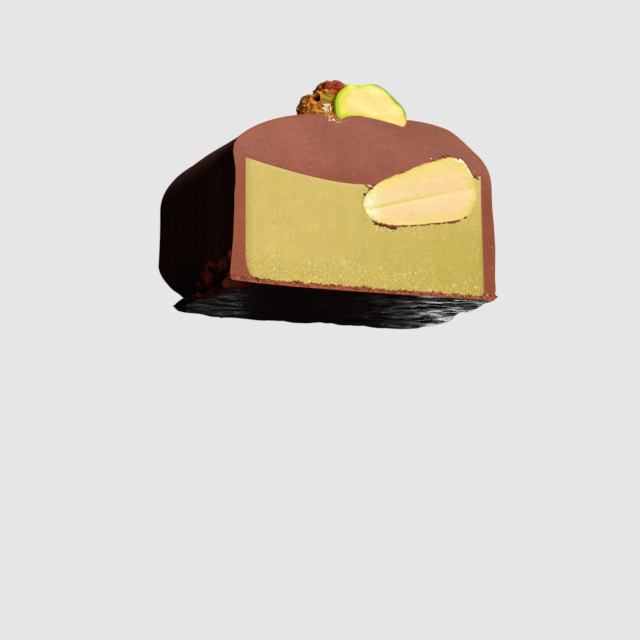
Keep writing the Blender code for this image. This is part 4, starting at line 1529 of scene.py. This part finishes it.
def add_crumb(surface, centre, size, draw, finish=0, level=1):
    """Adds one uneven crumb, turned and drawn out at random."""
    ball = bmesh.new()
    bmesh.ops.create_icosphere(ball, subdivisions=level, radius=1.0)
    first = len(surface.points)
    offset = Vector((draw.uniform(0, 50), draw.uniform(0, 50), draw.uniform(0, 50)))
    spin = draw.uniform(0, math.tau)
    wide, high = size * draw.uniform(0.8, 1.4), size * draw.uniform(0.55, 0.95)
    for vert in ball.verts:
        direction = vert.co.normalized()
        swell = 1 + 0.9 * noise.noise(direction * 1.4 + offset) + 0.3 * noise.noise(direction * 4.0 + offset)
        x, y, z = direction.x * wide, direction.y * high, direction.z * high
        x, z = x * math.cos(spin) - z * math.sin(spin), x * math.sin(spin) + z * math.cos(spin)
        surface.points.append(Vector(centre) + Vector((x, y, z)) * swell)
    for face in ball.faces:
        surface.faces.append(tuple(first + vert.index for vert in face.verts))
        surface.finishes.append(finish)
    ball.free()


def scatter(surface, patches, draw, depth, smallest, finish, level):
    """Adds crumbs at random over patches of the front view. depth gives y at a place of the view."""
    for x, z, half_width, half_height, count, size in patches:
        for _ in range(count):
            place_x, place_z = x + draw.uniform(-1, 1) * half_width, z + draw.uniform(-1, 1) * half_height
            centre = (place_x, depth(place_x, place_z), place_z)
            add_crumb(surface, centre, size * draw.uniform(smallest, 1.2), draw, finish, level)


def add_shred(surface, path, thickness, draw):
    """Adds a thin uneven strand along a path, pointed at both ends."""
    sides = 7
    rows = []
    offset = draw.uniform(0, 50)
    for i, place in enumerate(path):
        taper = math.sin(math.pi * (i + 0.5) / len(path)) ** 0.5
        swell = thickness * taper * (0.65 + 0.6 * abs(noise.noise(Vector((i * 0.55, offset, 0.0))) * 1.6))
        row = []
        for j in range(sides):
            turn = math.tau * j / sides
            rough = 1 + 0.5 * noise.noise(Vector((i * 0.6, math.cos(turn) + offset, math.sin(turn))))
            shift = Vector((0.0, math.cos(turn) * 0.4, math.sin(turn))) * swell * rough
            row.append(place + shift)
        rows.append(surface.add_row(row))
    surface.add_strips(rows, closed=True)
    surface.faces += [tuple(rows[0]), tuple(rows[-1])]
    surface.finishes += [0, 0]


def kernel_edge(form, side, along, gap):
    """A place just outside the halved kernel's outline."""
    above, below = form.kernel_widths(along)
    x, z = form.kernel_place(along, above + gap if side > 0 else -below - gap)
    return Vector((x, -0.03, z))


def skin_piece(form, colours):
    """Bits of skin round the halved kernel, and brown crumbs under the roasted piece."""
    surface = Surface()
    draw = random.Random(3)
    for side, start, end, gap, thickness in SKIN_RUNS:
        along = start
        while along < end - 0.15:
            stop = min(along + draw.uniform(0.5, 1.6), end)
            count = max(round((stop - along) / 0.07), 4)
            wander = draw.uniform(0, 50)
            path = []
            for i in range(count):
                here = mix(along, stop, i / (count - 1))
                off = gap + 0.07 * noise.noise(Vector((here * 1.8, wander, 0.0))) * 1.6
                path.append(kernel_edge(form, side, here, off))
            add_shred(surface, path, thickness * draw.uniform(0.7, 1.15), draw)
            along = stop + draw.uniform(-0.15, 0.12)
        for _ in range(round((end - start) * 2)):
            place = kernel_edge(form, side, draw.uniform(start, end), gap + draw.uniform(-0.05, 0.12))
            add_crumb(surface, place, thickness * draw.uniform(0.5, 1.1), draw)
    for (ax, az), (bx, bz), thickness in SKIN_SHREDS:
        wander = draw.uniform(0, 50)
        path = []
        for share in steps(0.0, 1.0, 0.09):
            bend = 0.12 * noise.noise(Vector((share * 2.0, wander, 0.0)))
            path.append(Vector((mix(ax, bx, share), -0.05, mix(az, bz, share) + bend)))
        add_shred(surface, path, thickness, draw)
    scatter(surface, BROWN_ROAST_CRUMBS, draw, lambda x, z: roast_front(x, z) - 0.1, 0.6, 1, 2)
    scatter(surface, BROWN_CRUMBS, draw, lambda x, z: 0.0, 0.6, 1, 1)
    return surface.build("kernel_skin_bits", [papery_skin(colours), roasted_crumb(colours)])


def pale_piece(form, colours):
    """Pale flecks and crumbs of kernel: round the halved kernel and under the toppings."""
    surface = Surface()
    draw = random.Random(8)
    scatter(surface, PALE_FLECKS, draw, lambda x, z: -0.02, 0.5, 0, 1)
    for _ in range(BASE_FLECKS):
        x = 34.0 - 32.0 * draw.random() ** 1.5
        z = form.base_height(x) + draw.uniform(-0.25, 0.15)
        add_crumb(surface, (x, -0.01, z), draw.uniform(0.03, 0.1), draw, 1)
    scatter(surface, PALE_ROAST_CRUMBS, draw, lambda x, z: roast_front(x, z) - 0.15, 0.6, 0, 2)
    return surface.build("pale_crumbs", [pale_crumb(colours), smeared_filling(colours)])


def chocolate_crumbs_piece(form, colours):
    """Crumbs of chocolate where the knife broke the base, and one on the dome beside the slice."""
    surface = Surface()
    draw = random.Random(11)
    for _ in range(BASE_CRUMBS):
        x = draw.uniform(1.2, 34.6)
        z = form.base_height(x) + draw.uniform(-0.3, 0.12)
        add_crumb(surface, (x, -0.01, z), draw.uniform(0.06, 0.17), draw)
    add_crumb(surface, DOME_CRUMB, DOME_CRUMB_SIZE, draw, 0, 2)
    return surface.build("chocolate_crumbs", [chocolate_crumb(colours)])


# ---------------------------------------------------------------- operators


def build_piece(context, make, name, slot, *nodes):
    """Builds a piece anew, and hides the CAD nodes that it stands for. slot is not used."""
    clear(name)
    piece = make(Form(context.scene.praline_sizes), context.scene.praline_colours)
    if nodes:
        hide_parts(*nodes)


class PRALINE_OT_shell(bpy.types.Operator):
    """Build the chocolate shell with its cut face"""

    bl_idname = "praline.shell"
    bl_label = "Chocolate shell"

    def execute(self, context):
        build_piece(context, shell_piece, "praline_shell", "milk_chocolate", "chocolate_shell")
        return {"FINISHED"}


class PRALINE_OT_filling(bpy.types.Operator):
    """Build the pistachio filling"""

    bl_idname = "praline.filling"
    bl_label = "Filling"

    def execute(self, context):
        build_piece(context, filling_piece, "pistachio_filling_cut", "pistachio_cream", "pistachio_filling")
        return {"FINISHED"}


class PRALINE_OT_kernel(bpy.types.Operator):
    """Build the kernel that the cut halves"""

    bl_idname = "praline.kernel"
    bl_label = "Halved kernel"

    def execute(self, context):
        build_piece(context, kernel_piece, "cut_kernel_half", "raw_kernel", "cut_kernel")
        return {"FINISHED"}


class PRALINE_OT_slice(bpy.types.Operator):
    """Build the kernel slice on top"""

    bl_idname = "praline.slice"
    bl_label = "Kernel slice"

    def execute(self, context):
        build_piece(context, slice_piece, "topping_kernel_slice", "green_kernel", "topping_kernel")
        return {"FINISHED"}


class PRALINE_OT_roast(bpy.types.Operator):
    """Build the roasted kernel piece on top"""

    bl_idname = "praline.roast"
    bl_label = "Roasted piece"

    def execute(self, context):
        build_piece(context, roast_piece, "topping_roasted_piece", "roasted_kernel", "topping_roasted_kernel")
        return {"FINISHED"}


class PRALINE_OT_crumbs(bpy.types.Operator):
    """Build the bits of skin, the pale flecks and the crumbs"""

    bl_idname = "praline.crumbs"
    bl_label = "Skin bits and crumbs"

    def execute(self, context):
        build_piece(context, skin_piece, "kernel_skin_bits", "roasted_kernel")
        build_piece(context, pale_piece, "pale_crumbs", "raw_kernel")
        build_piece(context, chocolate_crumbs_piece, "chocolate_crumbs", "milk_chocolate")
        return {"FINISHED"}


class PRALINE_OT_stage(bpy.types.Operator):
    """Set up the floor, the lights, the surroundings and the camera"""

    bl_idname = "praline.stage"
    bl_label = "Stage"

    def execute(self, context):
        under = [f"under_{number}" for number in range(1, len(UNDER_STRIPS) + 1)]
        for name in ("floor", *SUNS, *under, "camera"):
            clear(name)
        colours = context.scene.praline_colours
        add_floor(colours)
        add_surroundings(context.scene, colours)
        add_lights()
        add_camera(context.scene)
        context.scene.view_settings.view_transform = "Standard"
        return {"FINISHED"}


# ---------------------------------------------------------------- stage

FLOOR_Z = -0.0002
FLOOR_RADIUS = 2.0
# Soft suns: direction that each comes from, strength, and how wide it is in degrees
SUNS = {
    "key": ((0.42, -0.8, 0.5), 3.3, 24),
    "back": ((0.15, 0.45, 0.88), 1.3, 30),
    "side": ((-0.06, -0.97, -0.06), 0.8, 6),
}
FILL = 0.005
# Strips of light behind the praline that only its glossy underside mirrors: left and right end, low and high
# end, in millimetres, and brightness
UNDER_STRIPS = (
    ((-4.5, 5.0), (-6.4, -5.7), 1.1),
    ((0.5, 4.0), (-7.5, -7.25), 0.9),
    ((24.5, 30.0), (-8.0, -4.0), 0.4),
    ((30.0, 46.0), (-9.2, -4.0), 3.6),
)
UNDER_BEHIND = 40.0
CAMERA_AIM = (-4.19, -9.55, -2.95)  # in millimetres, from the middle of the base
CAMERA_AZIMUTH, CAMERA_ELEVATION = math.radians(-22.0), math.radians(-9.1)
CAMERA_DISTANCE, CAMERA_REACH = 1.2, (0.01, 20.0)  # in metres
FRAME_WIDTH = 78.7  # millimetres across the picture at the praline
SENSOR = 36.0


def link(thing):
    bpy.context.scene.collection.objects.link(thing)
    return thing


def add_floor(colours):
    """A round floor that throws no light, shadow or reflection onto the praline."""
    mesh = bmesh.new()
    bmesh.ops.create_circle(mesh, cap_ends=True, radius=FLOOR_RADIUS, segments=96)
    for vert in mesh.verts:
        vert.co.z = FLOOR_Z
    bmesh.ops.recalc_face_normals(mesh, faces=mesh.faces)
    data = bpy.data.meshes.new("floor")
    mesh.to_mesh(data)
    mesh.free()
    if data.polygons[0].normal.z < 0:
        data.flip_normals()
    data.materials.append(floor_material(colours))
    floor = link(bpy.data.objects.new("floor", data))
    floor.visible_glossy = False
    floor.visible_diffuse = False
    floor.visible_shadow = False


def add_surroundings(scene, colours):
    """Pale backdrop for the camera, and a faint fill for everything else."""
    world = bpy.data.worlds.new("surroundings")
    world.use_nodes = True
    scene.world = world
    nodes = Nodes(world.node_tree)
    backdrop = world.node_tree.nodes["Background"]
    backdrop.inputs["Color"].default_value = (*colours.backdrop, 1.0)
    fill = nodes.add("Background", None, {"Color": (1.0, 1.0, 1.0), "Strength": FILL})
    seen = nodes.out(nodes.add("LightPath"), "Is Camera Ray")
    both = nodes.mix_shaders(seen, nodes.out(fill), nodes.out(backdrop))
    nodes.put(world.node_tree.nodes["World Output"].inputs["Surface"], both)


def add_sun(name, came_from, strength, spread):
    light = bpy.data.lights.new(name, "SUN")
    light.energy = strength
    light.angle = math.radians(spread)
    sun = link(bpy.data.objects.new(name, light))
    sun.rotation_mode = "QUATERNION"
    sun.rotation_quaternion = Vector(came_from).to_track_quat("Z", "Y")


def add_lights():
    for name, sun in SUNS.items():
        add_sun(name, *sun)
    for number, strip in enumerate(UNDER_STRIPS, 1):
        add_strip(f"under_{number}", *strip)


def add_strip(name, sideways, upwards, glow):
    """A patch of light behind and below the praline, which lights nothing and shows only in gloss."""
    light = bpy.data.lights.new(name, "AREA")
    light.shape = "RECTANGLE"
    light.size = (sideways[1] - sideways[0]) / MM
    light.size_y = (upwards[1] - upwards[0]) / MM
    light.energy = glow * math.pi * light.size * light.size_y
    strip = link(bpy.data.objects.new(name, light))
    strip.location = Vector((sum(sideways) / 2, UNDER_BEHIND, sum(upwards) / 2)) / MM
    strip.rotation_euler = (math.radians(-90), 0.0, 0.0)
    strip.visible_camera = False
    strip.visible_diffuse = False


def add_camera(scene):
    data = bpy.data.cameras.new("camera")
    data.sensor_width = SENSOR
    data.lens = SENSOR * CAMERA_DISTANCE * MM / FRAME_WIDTH
    data.clip_start, data.clip_end = CAMERA_REACH
    camera = link(bpy.data.objects.new("camera", data))
    level, sunk = math.cos(CAMERA_ELEVATION), math.sin(CAMERA_ELEVATION)
    back = Vector((math.sin(CAMERA_AZIMUTH) * level, -math.cos(CAMERA_AZIMUTH) * level, sunk))
    camera.rotation_mode = "QUATERNION"
    camera.rotation_quaternion = (-back).to_track_quat("-Z", "Y")
    camera.location = Vector(CAMERA_AIM) / MM + back * CAMERA_DISTANCE
    scene.camera = camera


class PRALINE_PT_panel(bpy.types.Panel):
    """Sizes, colours and the steps that build the praline"""

    bl_idname = "PRALINE_PT_panel"
    bl_label = "Praline"
    bl_space_type = "VIEW_3D"
    bl_region_type = "UI"
    bl_category = "Praline"

    def draw(self, context):
        for group in (context.scene.praline_sizes, context.scene.praline_colours):
            box = self.layout.box()
            for name in group.__annotations__:
                box.prop(group, name)
        for step in STEPS:
            self.layout.operator(step.bl_idname)


STEPS = (
    PRALINE_OT_shell,
    PRALINE_OT_filling,
    PRALINE_OT_kernel,
    PRALINE_OT_slice,
    PRALINE_OT_roast,
    PRALINE_OT_crumbs,
    PRALINE_OT_stage,
)
CLASSES = (PralineSizes, PralineColours, *STEPS, PRALINE_PT_panel)


def register():
    for each in CLASSES:
        bpy.utils.register_class(each)
    bpy.types.Scene.praline_sizes = bpy.props.PointerProperty(type=PralineSizes)
    bpy.types.Scene.praline_colours = bpy.props.PointerProperty(type=PralineColours)


def unregister():
    del bpy.types.Scene.praline_colours
    del bpy.types.Scene.praline_sizes
    for each in reversed(CLASSES):
        bpy.utils.unregister_class(each)


def main():
    register()
    bpy.ops.praline.shell()
    bpy.ops.praline.filling()
    bpy.ops.praline.kernel()
    bpy.ops.praline.slice()
    bpy.ops.praline.roast()
    bpy.ops.praline.crumbs()
    bpy.ops.praline.stage()


if __name__ == "__main__":
    main()
